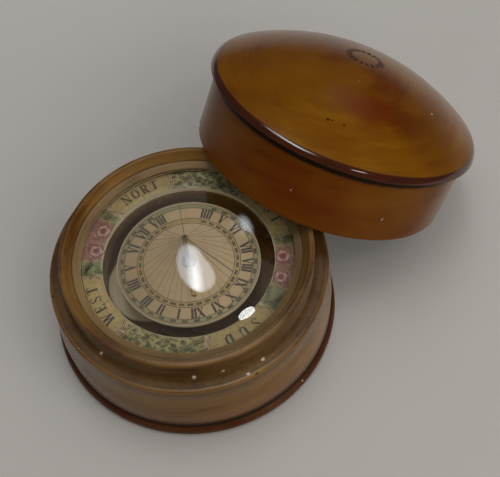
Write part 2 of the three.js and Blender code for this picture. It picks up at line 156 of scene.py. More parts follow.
class SUNDIAL_PG_stage(bpy.types.PropertyGroup):
    floor: paint("Floor", "Colour of the table", tone(160, 155, 149))
    lamp: power("Soft box", "Brightness of the soft box overhead", 10.4)
    top: power("Top light", "Power of the broad light overhead", 8.9)
    side: power("Side light", "Power of the light at the right", 0.38)
    fill: power("Fill light", "Power of the broad light behind the camera", 8)
    sky: power("Cool light", "Power of the small cool light", 0.12)
    air: power("Room light", "Strength of the even light of the room", 0.17)
    backdrop: paint("Backdrop", "Colour seen beyond the table", tone(160, 157, 153))


# Nodes and the sums on them


def sum_of(operation, swapped=False, clamp=False):
    """A method of Value that adds one maths node."""

    def method(self, other=0.0):
        pair = (other, self) if swapped else (self, other)
        return self.nodes.node("Math", {"operation": operation, "use_clamp": clamp}, *pair)

    return method


class Value:
    """A number or vector running through nodes, so that sums on it read as plain formulas."""

    def __init__(self, nodes, socket):
        self.nodes, self.socket = nodes, socket

    __add__, __radd__ = sum_of("ADD"), sum_of("ADD", swapped=True)
    __sub__, __rsub__ = sum_of("SUBTRACT"), sum_of("SUBTRACT", swapped=True)
    __mul__, __rmul__ = sum_of("MULTIPLY"), sum_of("MULTIPLY", swapped=True)
    __pow__, sine, cosine, most = sum_of("POWER"), sum_of("SINE"), sum_of("COSINE"), sum_of("MAXIMUM")
    held = sum_of("ADD", clamp=True)


class Nodes:
    """A node tree that is built one node at a time."""

    def __init__(self, tree):
        self.tree = tree

    def node(self, kind, settings, *inputs, out=0, **named):
        """Adds one node: its settings first, then its sockets in order or by name, from values or links.
        A shader node's kind goes without its prefix."""
        made = self.tree.nodes.new(kind if "Node" in kind else "ShaderNode" + kind)
        for key, setting in settings.items():
            setattr(made, key, setting)
        for key, value in [*enumerate(inputs), *((k.replace("_", " "), v) for k, v in named.items())]:
            if isinstance(value, Value):
                self.tree.links.new(value.socket, made.inputs[key])
            elif value is not None:
                opaque = made.inputs[key].type == "RGBA" and len(value) == 3
                made.inputs[key].default_value = (*value, 1) if opaque else value
        return Value(self, made.outputs[out])


class Finish(Nodes):
    """One material, or the room's light, and the nodes that make it."""

    def __init__(self, name, store="materials", output="ShaderNodeOutputMaterial"):
        self.made = getattr(bpy.data, store).new(name)
        self.made.use_nodes = True
        super().__init__(self.made.node_tree)
        self.tree.nodes.clear()
        self.output = self.tree.nodes.new(output)

    def end(self, shader):
        self.tree.links.new(shader.socket, self.output.inputs["Surface"])
        return self.made

    def surface(self, **sockets):
        """The finished material, with these sockets on its one surface shader."""
        return self.end(self.node("BsdfPrincipled", {}, **sockets))

    def place(self, matrix=None):
        """A point on the piece in millimetres, before matrix laid the piece down."""
        rest = matrix or Matrix()
        spot, turn = rest.to_translation(), rest.to_euler("XYZ")
        where = self.node("TexCoord", {}, out="Object")
        return self.node("Mapping", {"vector_type": "TEXTURE"}, where, Location=spot, Rotation=turn, Scale=(MM, MM, MM))

    def laid(self, where, turn=(0, 0, 0), scale=(1, 1, 1), shift=(0, 0, 0)):
        return self.node("Mapping", {}, where, Location=shift, Rotation=turn, Scale=scale)

    def noise(self, where, scale, detail=2.0, roughness=0.5, distortion=0.0):
        size = {"Scale": scale, "Detail": detail, "Roughness": roughness, "Distortion": distortion}
        return self.node("TexNoise", {}, Vector=where, **size)

    def line_noise(self, number, scale, detail):
        return self.node("TexNoise", {"noise_dimensions": "1D"}, W=number, Scale=scale, Detail=detail)

    def attribute(self, name, out="Fac"):
        return self.node("Attribute", {"attribute_name": name}, out=out)

    def ray(self, sort):
        return self.node("LightPath", {}, out=f"Is {sort} Ray")

    def parts_of(self, where):
        first = self.node("SeparateXYZ", {}, where)
        return [Value(self, part) for part in first.socket.node.outputs]

    def step(self, number, low, high):
        """0 below low and 1 above high, and smooth between them."""
        return self.node("MapRange", {"interpolation_type": "SMOOTHSTEP"}, number, low, high)

    def mix(self, amount, first, second):
        skipped = [None] * 5
        return self.node("Mix", {"data_type": "RGBA"}, amount, *skipped, first, second, out=2)

    def bump(self, height, distance, strength):
        return self.node("Bump", {}, Height=height, Distance=distance, Strength=strength)


# Turned shapes, in millimetres


def direction(a, b):
    across, up = b[0] - a[0], b[1] - a[1]
    run = math.hypot(across, up)
    return across / run, up / run, run


def rounded(corners, closed=False):
    """Outline points from corners of (radius, height, rounding, darkening), the darkening being old polish in
    places and painted shade in hollows. Each corner is rounded, and each straight run gets a point close to
    both ends, so that it shades flat."""
    count = len(corners)
    line = []
    for i, (r, z, size, dirt) in enumerate(corners):
        (ax, ay, arun), (bx, by, brun) = (direction((r, z), corners[k % count]) for k in (i - 1, i + 1))
        turn = math.pi - math.acos(max(-1, min(1, ax * bx + ay * by)))
        if size <= 0 or turn < 0.02 or (not closed and i in (0, count - 1)):
            line.append((r, z, dirt))
            continue
        reach = size * math.tan(turn / 2)
        clear = 0.12 + reach * 1.25
        if clear < arun * 0.5:
            line.append((r + ax * clear, z + ay * clear, dirt))
        mx, my = ax + bx, ay + by
        far = size / math.cos(turn / 2) / (math.hypot(mx, my) or 1)
        cx, cy = r + mx * far, z + my * far
        first, last = (math.atan2(z + y * reach - cy, r + x * reach - cx) for x, y in ((ax, ay), (bx, by)))
        sweep = (last - first + math.pi) % (2 * math.pi) - math.pi
        steps = max(2, math.ceil(turn / math.radians(11)))
        angles = [first + sweep * k / steps for k in range(steps + 1)]
        line += [(cx + size * math.cos(a), cy + size * math.sin(a), dirt) for a in angles]
        if clear < brun * 0.5:
            line.append((r + bx * clear, z + by * clear, dirt))
    return line


def sphere_size(edge, rise):
    return (edge**2 + rise**2) / (2 * rise)


def crown(edge, top, size, steps):
    """Points on a dome's outline from an edge radius in to the axis."""
    reach = math.asin(edge / size)
    angles = [reach * (steps - i) / steps for i in range(steps + 1)]
    return [(size * math.sin(a), top - size * (1 - math.cos(a)), 0.0) for a in angles]


def split(line, gap):
    """The same line with no two points further apart than gap."""
    points = [line[0]]
    for a, b in zip(line, line[1:]):
        steps = max(1, math.ceil(math.hypot(b[0] - a[0], b[1] - a[1]) / gap))
        points += [tuple(p + (q - p) * k / steps for p, q in zip(a, b)) for k in range(1, steps + 1)]
    return points


def mesh_of(points, faces):
    """A mesh from points in millimetres."""
    mesh = bpy.data.meshes.new("mesh")
    mesh.from_pydata([(x * MM, y * MM, z * MM) for x, y, z in points], [], faces)
    mesh.update()
    return mesh


def outward(mesh, merged=True):
    """Turns every face of a closed mesh outwards, once what lies together is merged."""
    work = bmesh.new()
    work.from_mesh(mesh)
    if merged:
        bmesh.ops.remove_doubles(work, verts=work.verts, dist=1e-8)
    bmesh.ops.recalc_face_normals(work, faces=work.faces)
    work.to_mesh(mesh)
    work.free()
    mesh.update()
    return mesh


def shown(name, data):
    """A new object in the scene."""
    made = bpy.data.objects.new(name, data)
    bpy.context.scene.collection.objects.link(made)
    return made


def finished(name, mesh, material, body, nodes=(), smooth=False):
    """A mesh as a piece of the object: its finish, the body it rides on and the nodes it stands for."""
    mesh.name = name
    piece = shown(name, mesh)
    mesh.materials.clear()
    mesh.materials.append(material)
    for face in mesh.polygons:
        face.use_smooth = smooth
    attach(piece, body)
    if nodes:
        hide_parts(*nodes)


def turned(line, steps, closed=False, worn=(), glazed=None):
    """A mesh turned about Z from outline points of (radius, height, darkening). Its poles are closed with one
    point each. worn lists chips and pits as (x, y, z, size, depth, kind). The darkening is old polish in places
    and painted shade in hollows; below zero it pales an edge, as wear and in places as a painted highlight
    line. glazed says from (radius, height) how thickly old polish lies."""
    points, faces, dirt, rings = [], [], [], []
    for r, z, d in line:
        if r < 1e-4:
            angles, r = [0], 0
        else:
            angles = [2 * math.pi * k / steps for k in range(steps)]
        rings.append(range(len(points), len(points) + len(angles)))
        points += [(r * math.cos(a), r * math.sin(a), z) for a in angles]
        dirt += [d] * len(angles)
    for a, b in zip(rings, rings[1:] + rings[:1] if closed else rings[1:]):
        for k in range(steps):
            n = (k + 1) % steps
            if len(a) == 1:
                faces.append((a[0], b[n], b[k]))
            elif len(b) == 1:
                faces.append((a[k], a[n], b[0]))
            else:
                faces.append((a[k], a[n], b[n], b[k]))
    wear = {"chip": [0.0] * len(points), "pit": [0.0] * len(points)}
    glaze = [glazed(math.hypot(x, y), z) if glazed else 0.0 for x, y, z in points]
    for *place, size, depth, kind in worn:
        place = Vector(place)
        for i, p in enumerate(points):
            if abs(p[0] - place.x) < size and abs(p[1] - place.y) < size and abs(p[2] - place.z) < size:
                depth_here = 1 - (Vector(p) - place).length / size
                if depth_here > 0:
                    wear[kind][i] = max(wear[kind][i], depth_here)
                    axis_ward = Vector((-p[0], -p[1], -abs(p[2]) * 0.4)).normalized()
                    points[i] = tuple(Vector(p) + axis_ward * depth * depth_here)
    mesh = mesh_of(points, faces)
    for key, values in {"dirt": dirt, "glaze": glaze, **wear}.items():
        mesh.attributes.new(key, "FLOAT", "POINT").data.foreach_set("value", values)
    return outward(mesh)


# Wood, paper, glass and metal finishes


def wood(name, tones, place, roughness, grain_turn, seed, stains=(), patches=(), turning=1.0, sheen=0.2):
    """Polished boxwood: fibres along the plank, fine turning lines, clouds of older polish, and a darkening from
    the mesh that is old polish in places and painted shade in quirks, gaps and under mouldings. Edges are
    pale where worn, and in places with a painted highlight line; a painted pale sheen greys the wood where it
    turns away from view. Chips show pale and pits dark. A stain is (height, softness, colour, amount) and colours
    what lies below; a patch is (middle, reach, softness, colour, amount). turning is how plainly the turning
    lines show, and sheen how much the polish mirrors."""
    light, middle, dark, dirt = tones
    finish = Finish(name)
    mix, step, noise_at, laid, marked = finish.mix, finish.step, finish.noise, finish.laid, finish.attribute
    where = finish.place(place)
    x, y, z = finish.parts_of(where)
    plank = laid(where, turn=(0.05, 0.08, grain_turn), shift=(seed, seed * 0.7, seed))
    figure = noise_at(laid(plank, scale=(0.03, 0.055, 0.3)), 1.0, 3.0, 0.5, 0.4)
    streak = noise_at(laid(plank, scale=(0.05, 0.16, 1.3)), 1.0, 4.0, 0.6, 0.3)
    fibre = noise_at(laid(plank, scale=(0.25, 1.6, 9)), 1.0, 3.0, 0.6)
    cloud = noise_at(where, 0.045)
    from_axis = (x * x + y * y) ** 0.5
    lathe = finish.line_noise(from_axis + z * 0.9, 1.7, 3.0)
    tint = (figure - 0.5) * 1.3 + (streak - 0.5) * 0.7 + (cloud - 0.5) * 1.4 + (lathe - 0.5) * (0.4 * turning) + 0.5
    colour = mix(step(tint, 0.05, 0.5), dark, middle)
    colour = mix(step(tint, 0.48, 1.0), colour, light)
    colour = mix(step(fibre, 0.5, 0.8) * 0.2, colour, dark)
    broad = noise_at(where, 0.06, 3.0, 0.6, 0.5)
    for level, fade, stain_colour, amount in stains:
        below = step(z, level + fade, level - fade)
        colour = mix(below * (step(broad, 0.3, 0.7) * 0.35 + amount), colour, stain_colour)
    for (cx, cy, cz), reach, fade, patch_colour, amount in patches:
        away = ((x - cx) * (x - cx) + (y - cy) * (y - cy) + (z - cz) * (z - cz)) ** 0.5
        away = away + (broad - 0.5) * fade * 2.0 + (streak - 0.5) * fade
        colour = mix(step(away, reach + fade, reach - fade) * amount, colour, patch_colour)
    lines = step(finish.line_noise(from_axis + z * 1.1, 4.5, 2.0), 0.56, 0.72)
    colour = mix(lines * (0.3 * turning), colour, dark)
    smudge = noise_at(where, 0.7, 4.0, 0.7) - 0.5
    # Pale where the outline's value is below zero: worn edges, and round the lid's crown a painted highlight line.
    worn_and_highlit = step(marked("dirt") * -1.0 + smudge * 0.6, 0.3, 0.9)
    colour = mix(worn_and_highlit * 0.75, colour, mix(0.45, light, tone(168, 156, 134)))
    # Dark where the outline's value is high: old polish in places, and painted shade in the quirks, in gaps and under
    # the lid's moulding.
    old = step(marked("dirt") + smudge * 0.5, 0.15, 0.95)
    colour = mix(old * 0.92, colour, dirt)
    speck = step(noise_at(where, 1.9), 0.71, 0.76)
    colour = mix(speck * 0.5, colour, dirt)
    rough_edge = (noise_at(where, 3.1, 3.0, 0.7) - 0.5) * 0.7
    colour = mix(step(marked("pit") + rough_edge, 0.4, 0.62) * 0.85, colour, dirt)
    chipped = step(marked("chip") + rough_edge, 0.4, 0.55)
    colour = mix(chipped, colour, tone(176, 164, 146))
    smear = noise_at(where, 0.13, 4.0, 0.6, 0.8)
    shine = (smear - 0.5) * 0.22 + old * 0.25 + chipped * 0.4 + roughness
    glaze = marked("glaze")
    colour = mix(glaze * 0.92, colour, mix(smear, tone(28, 4, 2), tone(54, 12, 3)))
    # Painted sheen: the wood pales towards grey where it turns away from view, standing in for the room's reflection,
    # except on the glazed bead.
    painted_sheen_facing = finish.node("LayerWeight", {}, Blend=0.5, out="Facing")
    colour = mix(step(painted_sheen_facing, 0.56, 1.0) * (1.0 - glaze) * 0.34, colour, tone(156, 140, 122))
    relief = fibre * 0.35 + streak * 0.5 + (lathe - lines) * (0.5 * turning) - speck * 0.8 - chipped * 1.5
    normal = finish.bump(relief, 0.02 * MM, 0.7)
    coat = {"Coat_Weight": glaze, "Coat_Roughness": 0.06, "Coat_IOR": 1.55}
    return finish.surface(Base_Color=colour, Roughness=shine.held(), Normal=normal, Specular_IOR_Level=sheen, **coat)


def paper(name, prints, wash=True):
    """Old laid paper with its hand colouring, which is painted into the mesh as the attribute wash."""
    finish = Finish(name)
    where = finish.place()
    colour = finish.attribute("wash", "Color") if wash else finish.mix(0.0, prints.paper, prints.paper)
    blotch = finish.noise(where, 0.33, 4.0, 0.6, 0.5)
    colour = finish.mix(finish.step(blotch, 0.45, 0.8) * 0.3, colour, tone(120, 92, 58))
    fibre = finish.noise(where, 6.0, 3.0, 0.7)
    colour = finish.mix((fibre - 0.35) * 0.35, colour, tone(96, 78, 56))
    fox = finish.step(finish.noise(where, 0.9, 1.0, 0.4), 0.7, 0.76)
    colour = finish.mix(fox * 0.3, colour, tone(120, 80, 40))
    return finish.surface(Base_Color=colour, Roughness=fibre * 0.2 + 0.7, Normal=finish.bump(fibre, 0.01 * MM, 0.5))


def pasteboard(name, colour_of_board):
    """Grey-cream layered board, seen at its cut edges."""
    finish = Finish(name)
    where = finish.place()
    layers = finish.noise(finish.laid(where, scale=(0.6, 0.6, 9)), 1.0, 3.0, 0.6)
    blotch = finish.noise(where, 0.8, 3.0)
    colour = finish.mix(finish.step(layers, 0.4, 0.7) * 0.5, colour_of_board, tone(120, 102, 76))
    colour = finish.mix(finish.step(blotch, 0.5, 0.75) * 0.35, colour, tone(98, 76, 52))
    return finish.surface(Base_Color=colour, Roughness=layers * 0.2 + 0.72, Normal=finish.bump(layers, 0.03 * MM, 0.6))


def printed_ink(name, ink, faded):
    """Plate ink, thinner and browner where it took badly."""
    finish = Finish(name)
    patchy = finish.noise(finish.place(), 2.6, 4.0, 0.7)
    colour = finish.mix(finish.step(patchy, 0.42, 0.68) * 0.55, ink, faded)
    return finish.surface(Base_Color=colour, Roughness=patchy * 0.25 + 0.5)


def old_glass(name, tint):
    """Clear blown glass with one pale spot painted into it as a reflection. Lamps reach the card through it."""
    finish = Finish(name)
    where = finish.place()
    haze = finish.noise(where, 0.5, 5.0, 0.7)
    clear = finish.node(
        "BsdfPrincipled",
        {},
        Base_Color=finish.mix(haze * 0.12, tint, (0.86, 0.87, 0.82)),
        Roughness=finish.step(haze, 0.5, 0.9) * 0.05,
        Normal=finish.bump(finish.noise(where, 0.06, 1.0), 0.25 * MM, 0.4),
        Transmission_Weight=1.0,
        IOR=1.5,
    )
    # Painted reflection: a pale diffuse spot, a fifth strong, mixed into the glass at x 14.4, y 2.6 mm, where a
    # window's reflection stands.
    x, y, _ = finish.parts_of(where)
    dx, dy = x - 14.4, y - 2.6
    across, along = dx * 0.5 + dy * 0.12, dy * 0.27 - dx * 0.1
    away = (across * across + along * along) ** 0.5 + (haze - 0.5) * 0.5
    painted_reflection = finish.node("BsdfDiffuse", {}, Color=(0.78, 0.83, 0.9))
    clear = finish.node("MixShader", {}, finish.step(away, 1.0, 0.1) * 0.2, clear, painted_reflection)
    passed = finish.node("BsdfTransparent", {}, Color=(0.94, 0.95, 0.94))
    return finish.end(finish.node("MixShader", {}, finish.ray("Shadow"), clear, passed))


def metal(name, colour, tarnish, roughness):
    """Worked metal, brighter where it was rubbed and dull where it tarnished."""
    finish = Finish(name)
    where = finish.place()
    brushed = finish.noise(finish.laid(where, scale=(0.8, 9, 9)), 1.0, 3.0, 0.6)
    old = finish.step(finish.noise(where, 0.6, 5.0, 0.65, 0.4), 0.38, 0.72)
    return finish.surface(
        Base_Color=finish.mix(old * 0.8, colour, tarnish),
        Metallic=1 - old * 0.35,
        Roughness=old * 0.25 + brushed * 0.15 + roughness,
        Normal=finish.bump(brushed, 0.01 * MM, 0.5),
    )


def stone(name, colour):
    """Polished banded agate."""
    finish = Finish(name)
    where = finish.place()
    _, _, z = finish.parts_of(where)
    bands = ((finish.noise(where, 0.9, 3.0) * 9 + z * 3).sine() + 1) * 0.5
    colour = finish.mix(bands * 0.6, colour, tone(196, 160, 132))
    return finish.surface(Base_Color=colour, Roughness=bands * 0.05 + 0.12)


# Engraved work, in millimetres and degrees: lines of ink laid along a plane


def polar(radius, degrees):
    return radius * math.cos(math.radians(degrees)), radius * math.sin(math.radians(degrees))


class Engraving:
    """Thin closed ribbons of ink on one sheet of paper."""

    def __init__(self, height, relief=0.02):
        self.top, self.low = height + relief, height - relief
        self.points, self.faces = [], []

    def stroke(self, line, closed=False):
        """A ribbon along points of (x, y, width)."""
        count, start = len(line), len(self.points)
        for i, (x, y, width) in enumerate(line):
            a = line[i - 1] if i or closed else line[i]
            b = line[(i + 1) % count] if i < count - 1 or closed else line[i]
            dx, dy = b[0] - a[0], b[1] - a[1]
            half = width / 2 / (math.hypot(dx, dy) or 1)
            for side, height in ((1, self.top), (-1, self.top), (-1, self.low), (1, self.low)):
                self.points.append((x - side * dy * half, y + side * dx * half, height))
        for i in range(count if closed else count - 1):
            a, b = start + 4 * i, start + 4 * ((i + 1) % count)
            self.faces += [(a + k, a + (k + 1) % 4, b + (k + 1) % 4, b + k) for k in range(4)]
        if not closed:
            end = start + 4 * (count - 1)
            self.faces += [(start + 3, start + 2, start + 1, start), (end, end + 1, end + 2, end + 3)]

    def ring(self, radius, width, start=0.0, sweep=360.0, centre=(0, 0)):
        """A circle or an arc."""
        whole = abs(sweep) >= 360
        steps = max(6, math.ceil(abs(sweep) * radius / 14))
        spots = [polar(radius, start + sweep * i / steps) for i in range(steps if whole else steps + 1)]
        self.stroke([(centre[0] + x, centre[1] + y, width) for x, y in spots], whole)

    def mesh(self):
        return outward(mesh_of(self.points, self.faces), merged=False)


def thick(x1, y1, x2, y2, width=0.22):
    return [(x1, y1, width), (x2, y2, width)]


def thin(*ends):
    return thick(*ends, width=0.08)


def foot(x, y, half=0.14):
    """A serif at the end of a stem."""
    return thick(x - half, y, x + half, y, 0.09)


def bowl(cx, cy, rx, ry, start, end, steps=14):
    """An arc of a letter, thick at its sides and thin at top and bottom."""
    angles = [math.radians(start + (end - start) * i / steps) for i in range(steps + 1)]
    return [(cx + rx * math.cos(a), cy + ry * math.sin(a), 0.08 + 0.14 * abs(math.cos(a)) ** 1.5) for a in angles]


S_CURVE = [(0.5, 0.78, 0.06), (0.43, 0.93, 0.06), (0.28, 0.98, 0.07), (0.13, 0.9, 0.1), (0.1, 0.76, 0.13)]
S_CURVE += [(0.18, 0.61, 0.16), (0.34, 0.48, 0.17), (0.47, 0.36, 0.15), (0.52, 0.22, 0.12), (0.44, 0.07, 0.09)]
S_CURVE += [(0.28, 0.02, 0.07), (0.12, 0.08, 0.06), (0.07, 0.24, 0.06)]

# Each letter's width and its strokes, for a height of one
LETTERS = {
    "I": (0.34, thick(0.17, 0, 0.17, 1), foot(0.17, 0.03), foot(0.17, 0.97)),
    "V": (0.72, thick(0.1, 1, 0.38, 0), thin(0.38, 0, 0.62, 1), foot(0.1, 0.97), foot(0.62, 0.97)),
    "X": (0.76, thick(0.1, 1, 0.64, 0), thin(0.64, 1, 0.1, 0))
    + tuple(foot(x, y) for y in (0.97, 0.03) for x in (0.1, 0.64)),
    "N": (0.86, thin(0.14, 0, 0.14, 1), thick(0.14, 1, 0.7, 0), thin(0.7, 0, 0.7, 1))
    + (foot(0.14, 0.03), foot(0.7, 0.97), foot(0.08, 0.97, 0.08)),
    "O": (0.8, bowl(0.38, 0.5, 0.29, 0.46, 0, 360, steps=24)),
    "R": (0.78, thick(0.16, 0, 0.16, 1), bowl(0.3, 0.74, 0.27, 0.23, 90, -90), thin(0.16, 0.97, 0.32, 0.97))
    + (thin(0.16, 0.51, 0.32, 0.51), thick(0.36, 0.5, 0.62, 0))
    + (foot(0.16, 0.03), foot(0.66, 0.03, 0.09), foot(0.1, 0.97, 0.08)),
    "T": (0.78, thick(0.36, 0, 0.36, 1), thin(0.04, 0.96, 0.68, 0.96), foot(0.36, 0.03))
    + (thin(0.05, 0.98, 0.03, 0.76), thin(0.67, 0.98, 0.69, 0.76)),
    "D": (0.84, thick(0.16, 0, 0.16, 1), bowl(0.34, 0.5, 0.34, 0.47, 90, -90))
    + (thin(0.1, 0.97, 0.36, 0.97), thin(0.1, 0.03, 0.36, 0.03)),
    "E": (0.7, thick(0.16, 0, 0.16, 1), thin(0.1, 0.97, 0.58, 0.97), thin(0.16, 0.51, 0.44, 0.51))
    + (thin(0.1, 0.03, 0.6, 0.03), thin(0.57, 0.98, 0.58, 0.76))
    + (thin(0.44, 0.62, 0.44, 0.4), thin(0.59, 0.02, 0.61, 0.26)),
    "S": (0.62, S_CURVE, thin(0.5, 0.72, 0.51, 0.98), thin(0.07, 0.28, 0.06, 0.02)),
    "U": (0.82, thick(0.16, 0.3, 0.16, 1), bowl(0.4, 0.32, 0.24, 0.3, 180, 360), thin(0.64, 0.32, 0.64, 1))
    + (foot(0.16, 0.97), foot(0.64, 0.97, 0.1)),
    "W": (1.1, thick(0.1, 1, 0.33, 0), thin(0.33, 0, 0.54, 0.98), thick(0.5, 1, 0.75, 0), thin(0.75, 0, 0.98, 1))
    + (foot(0.1, 0.97), foot(0.52, 0.97, 0.1), foot(0.98, 0.97, 0.1)),
}


def lettering(engraving, word, middle, inner, height, spread, gap):
    """Capitals round a circle, feet inwards, read clockwise and centred on an azimuth."""
    widths = [LETTERS[c][0] * spread for c in word]
    radius = inner + height / 2
    at = -(sum(widths) + gap * (len(word) - 1)) / 2
    for c, width in zip(word, widths):
        for line in LETTERS[c][1:]:
            laid = []
            for x, y, w in split(line, 0.3):
                angle = middle - math.degrees((at + x * spread) * height / radius)
                laid.append((*polar(inner + y * height, angle), w * height))
            engraving.stroke(laid)
        at += width + gap


# The hand colouring


def blend(a, b, t):
    t = max(0.0, min(1.0, t))
    return tuple(p + (q - p) * t for p, q in zip(a, b))


def soft(value, low, high):
    t = max(0.0, min(1.0, (value - low) / (high - low)))
    return t * t * (3 - 2 * t)


def band(value, *edges):
    """1 between the two middle edges of four, 0 outside the outer ones."""
    return soft(value, *edges[:2]) * (1 - soft(value, *edges[2:]))


def between(angle, start, end, edge):
    """1 where an azimuth in degrees lies from start to end, anticlockwise, with soft ends."""
    span = (end - start) % 360
    away = (angle - start) % 360
    if away > 180 + span / 2:
        away -= 360
    return band(away, -edge / 2, edge / 2, span - edge / 2, span + edge / 2)


def washed_ring(inner, outer, low, top, steps, bands, colour_at):
    """A flat paper washer, finely divided on top, with its hand colouring painted point by point."""
    line = [(inner + (outer - inner) * i / bands, top, 0) for i in range(bands + 1)]
    mesh = turned([*line, (outer, low, 0), (inner, low, 0)], steps, closed=True)
    colours = []
    for v in mesh.vertices:
        angle = math.degrees(math.atan2(v.co.y, v.co.x))
        colours += [*colour_at(math.hypot(v.co.x, v.co.y) / MM, angle, v.co / MM), 1.0]
    mesh.attributes.new("wash", "FLOAT_COLOR", "POINT").data.foreach_set("color", colours)
    return mesh


def noisy(place, scale, seed):
    return noise.noise(Vector((place[0] * scale + seed, place[1] * scale - seed, seed)))


# The ring's plan: label frames, roses, leaf panels and small leaves, by azimuths anticlockwise from +X
LABELS = (("NORT", 111.2, 0.24), ("WEST", -161.0, 0.37), ("SUD", -68.3, 0.63), ("OST", 23.4, 0.6))
LABEL_HALF = 20.0
CLOUDS = ((-16.6, 1.5), (-11.2, 1.05), (-6.9, 0.8), (-2.6, 0.95), (2.2, 0.85), (6.6, 1.0), (11.4, 0.9), (16.6, 1.5))
CLOUD_FOOT = 20.2
ROSES = ((146.6, 22.0, 2.1), (161.2, 21.8, 2.0), (-11.5, 21.9, 2.1), (-25.9, 22.0, 1.9))
ROSE_GROUNDS = ((139.5, 168.5), (-33, -4))
PANELS = ((46.5, 90.5), (-137.8, -90.5))
POSIES = ((133.6, 139.5), (168.5, 178.5), (-46.5, -33), (-3.5, 2.2))


def off_middle(angle, middle):
    return (angle - middle + 180) % 360 - 180


def cloud_edge(angle, r, middle):
    """How deep a point lies in the bank of clouds along a label's inner side, in millimetres."""
    along = off_middle(angle, middle)
    depths = []
    for spot, size in CLOUDS:
        across = math.radians(along) * r - math.radians(spot) * (CLOUD_FOOT + size)
        depths.append(size - math.hypot(across, r - CLOUD_FOOT - size))
    return max(depths)


def ring_colour(prints, r, angle, place):
    colour = tuple(prints.paper)
    drift, grain = noisy(place, 0.55, 3.1), noisy(place, 1.7, 8.4)
    printed = band(r, 20.24, 20.34, 25.3, 25.6)
    for start, end in PANELS:
        pair = (tone(142, 134, 98), tone(118, 116, 78)) if start > 0 else (tone(130, 114, 68), tone(104, 98, 50))
        leaf_tone = blend(*pair, 0.5 + drift * 1.4)
        leaf_tone = blend(leaf_tone, tone(126, 126, 96), soft(grain, 0.0, 0.5) * 0.4)
        colour = blend(colour, leaf_tone, between(angle, start, end, 2.0) * printed * 0.88)
    for start, end in POSIES:
        leaf_tone = blend(prints.green, tone(94, 110, 58), 0.5 + grain * 1.3)
        leaf_tone = blend(leaf_tone, tone(126, 130, 92), soft(drift, 0.0, 0.35) * 0.5)
        leaf_tone = blend(leaf_tone, tone(84, 76, 50), 0.55 if abs(start) < 60 else 0.0)
        colour = blend(colour, leaf_tone, between(angle, start, end, 2.5) * printed * 0.85)
    for _, middle, _ in LABELS:
        inside = (1 - soft(abs(off_middle(angle, middle)), LABEL_HALF - 1.0, LABEL_HALF - 0.2)) * printed
        if inside > 0:
            cloud = soft(cloud_edge(angle, r, middle), -0.1, 0.1)
            ground = blend(tone(130, 112, 78), prints.yellow, 0.25 if 0 < middle else 0.6)
            colour = blend(colour, ground, inside * 0.8)
            colour = blend(colour, blend(prints.yellow, tone(146, 122, 82), 0.5 + grain), inside * cloud * 0.85)
    for start, end in ROSE_GROUNDS:
        deep = blend(prints.rose, tone(98, 52, 58), 0.5 + drift * 1.5)
        deep = blend(deep, tone(84, 54, 42), 0.65 if start < 0 else 0.0)
        colour = blend(colour, deep, between(angle, start, end, 4) * printed * (0.8 + 0.4 * grain))
    for rose_angle, rose_radius, size in ROSES:
        cx, cy = polar(rose_radius, rose_angle)
        dx, dy = place[0] - cx, place[1] - cy
        turn = math.atan2(dy, dx)
        away = math.hypot(dx, dy) / size / (1 + 0.07 * math.sin(turn * 5 + rose_angle) + 0.25 * grain)
        if away < 1.1:
            petal = blend(tone(158, 124, 110), tone(138, 92, 88), 0.5 + 0.5 * math.sin(turn * 3 + size * 9))
            colour = blend(colour, tone(102, 48, 54), (1 - soft(away, 0.92, 1.08)) * 0.7)
            colour = blend(colour, petal, band(away, 0.32, 0.42, 0.68, 0.78) * 0.95)
            outer_petal = band(away, 0.86, 0.92, 0.98, 1.06) * soft(math.sin(turn * 2 + 1), 0.0, 0.6)
            colour = blend(colour, petal, outer_petal * 0.7)
            colour = blend(colour, tone(96, 48, 52), 1 - soft(away, 0.22, 0.36))
    return blend(colour, tone(164, 150, 120), 1 - soft(r, 20.2, 20.28))


def card_colour(prints, r, angle, place):
    top = between(angle, 63, 111, 6)
    drift = noisy(place, 0.5, 5.7)
    green = blend(prints.green, tone(110, 112, 74), 0.45 + drift)
    colour = blend(prints.paper, green, band(r, 15.0, 15.2, 16.0, 16.15) * (0.62 + 0.3 * top + 0.2 * drift))
    yellow = band(r, 10.75, 10.95, 11.95, 12.1) * (0.7 + 0.3 * drift + 0.1 * top)
    colour = blend(colour, blend(prints.yellow, tone(112, 92, 44), 0.4), yellow)
    blot = math.hypot(place[0] + 12.0, place[1] - 0.2)
    colour = blend(colour, tone(176, 118, 56), (1 - soft(blot, 0.3, 1.1)) * 0.7)
    # Painted shade: the card darkens towards its left (negative x) side.
    colour = blend(colour, tone(92, 76, 50), soft(-place[0], -6.0, 16.0) * 0.5)
    return blend(colour, tone(172, 158, 130), soft(r, 16.35, 16.7) * 0.6)


def leaf(engraving, x, y, heading, size, width, line):
    """One engraved leaf: both sides, its rib and a few short veins."""
    a = math.radians(heading)
    ax, ay = math.cos(a), math.sin(a)

    def laid(u, v, share_of_line):
        return x + ax * u - ay * v, y + ay * u + ax * v, line * share_of_line

    for side in (1, -1):
        points = []
        for i in range(9):
            t = i / 8
            swell = width / 2 * math.sin(math.pi * t**0.8) * (1 + 0.16 * math.sin(t * 19))
            points.append(laid(t * size, side * swell, 1))
        engraving.stroke(points)
    engraving.stroke([laid(t * size, 0.06 * size * math.sin(t * 3), 0.9) for t in (0, 0.3, 0.6, 0.95)])
    for t in (0.25, 0.45, 0.65):
        reach = width * 0.33 * math.sin(math.pi * t)
        for side in (1, -1):
            engraving.stroke([laid(t * size, 0, 0.6), laid((t + 0.16) * size, side * reach, 0.5)])


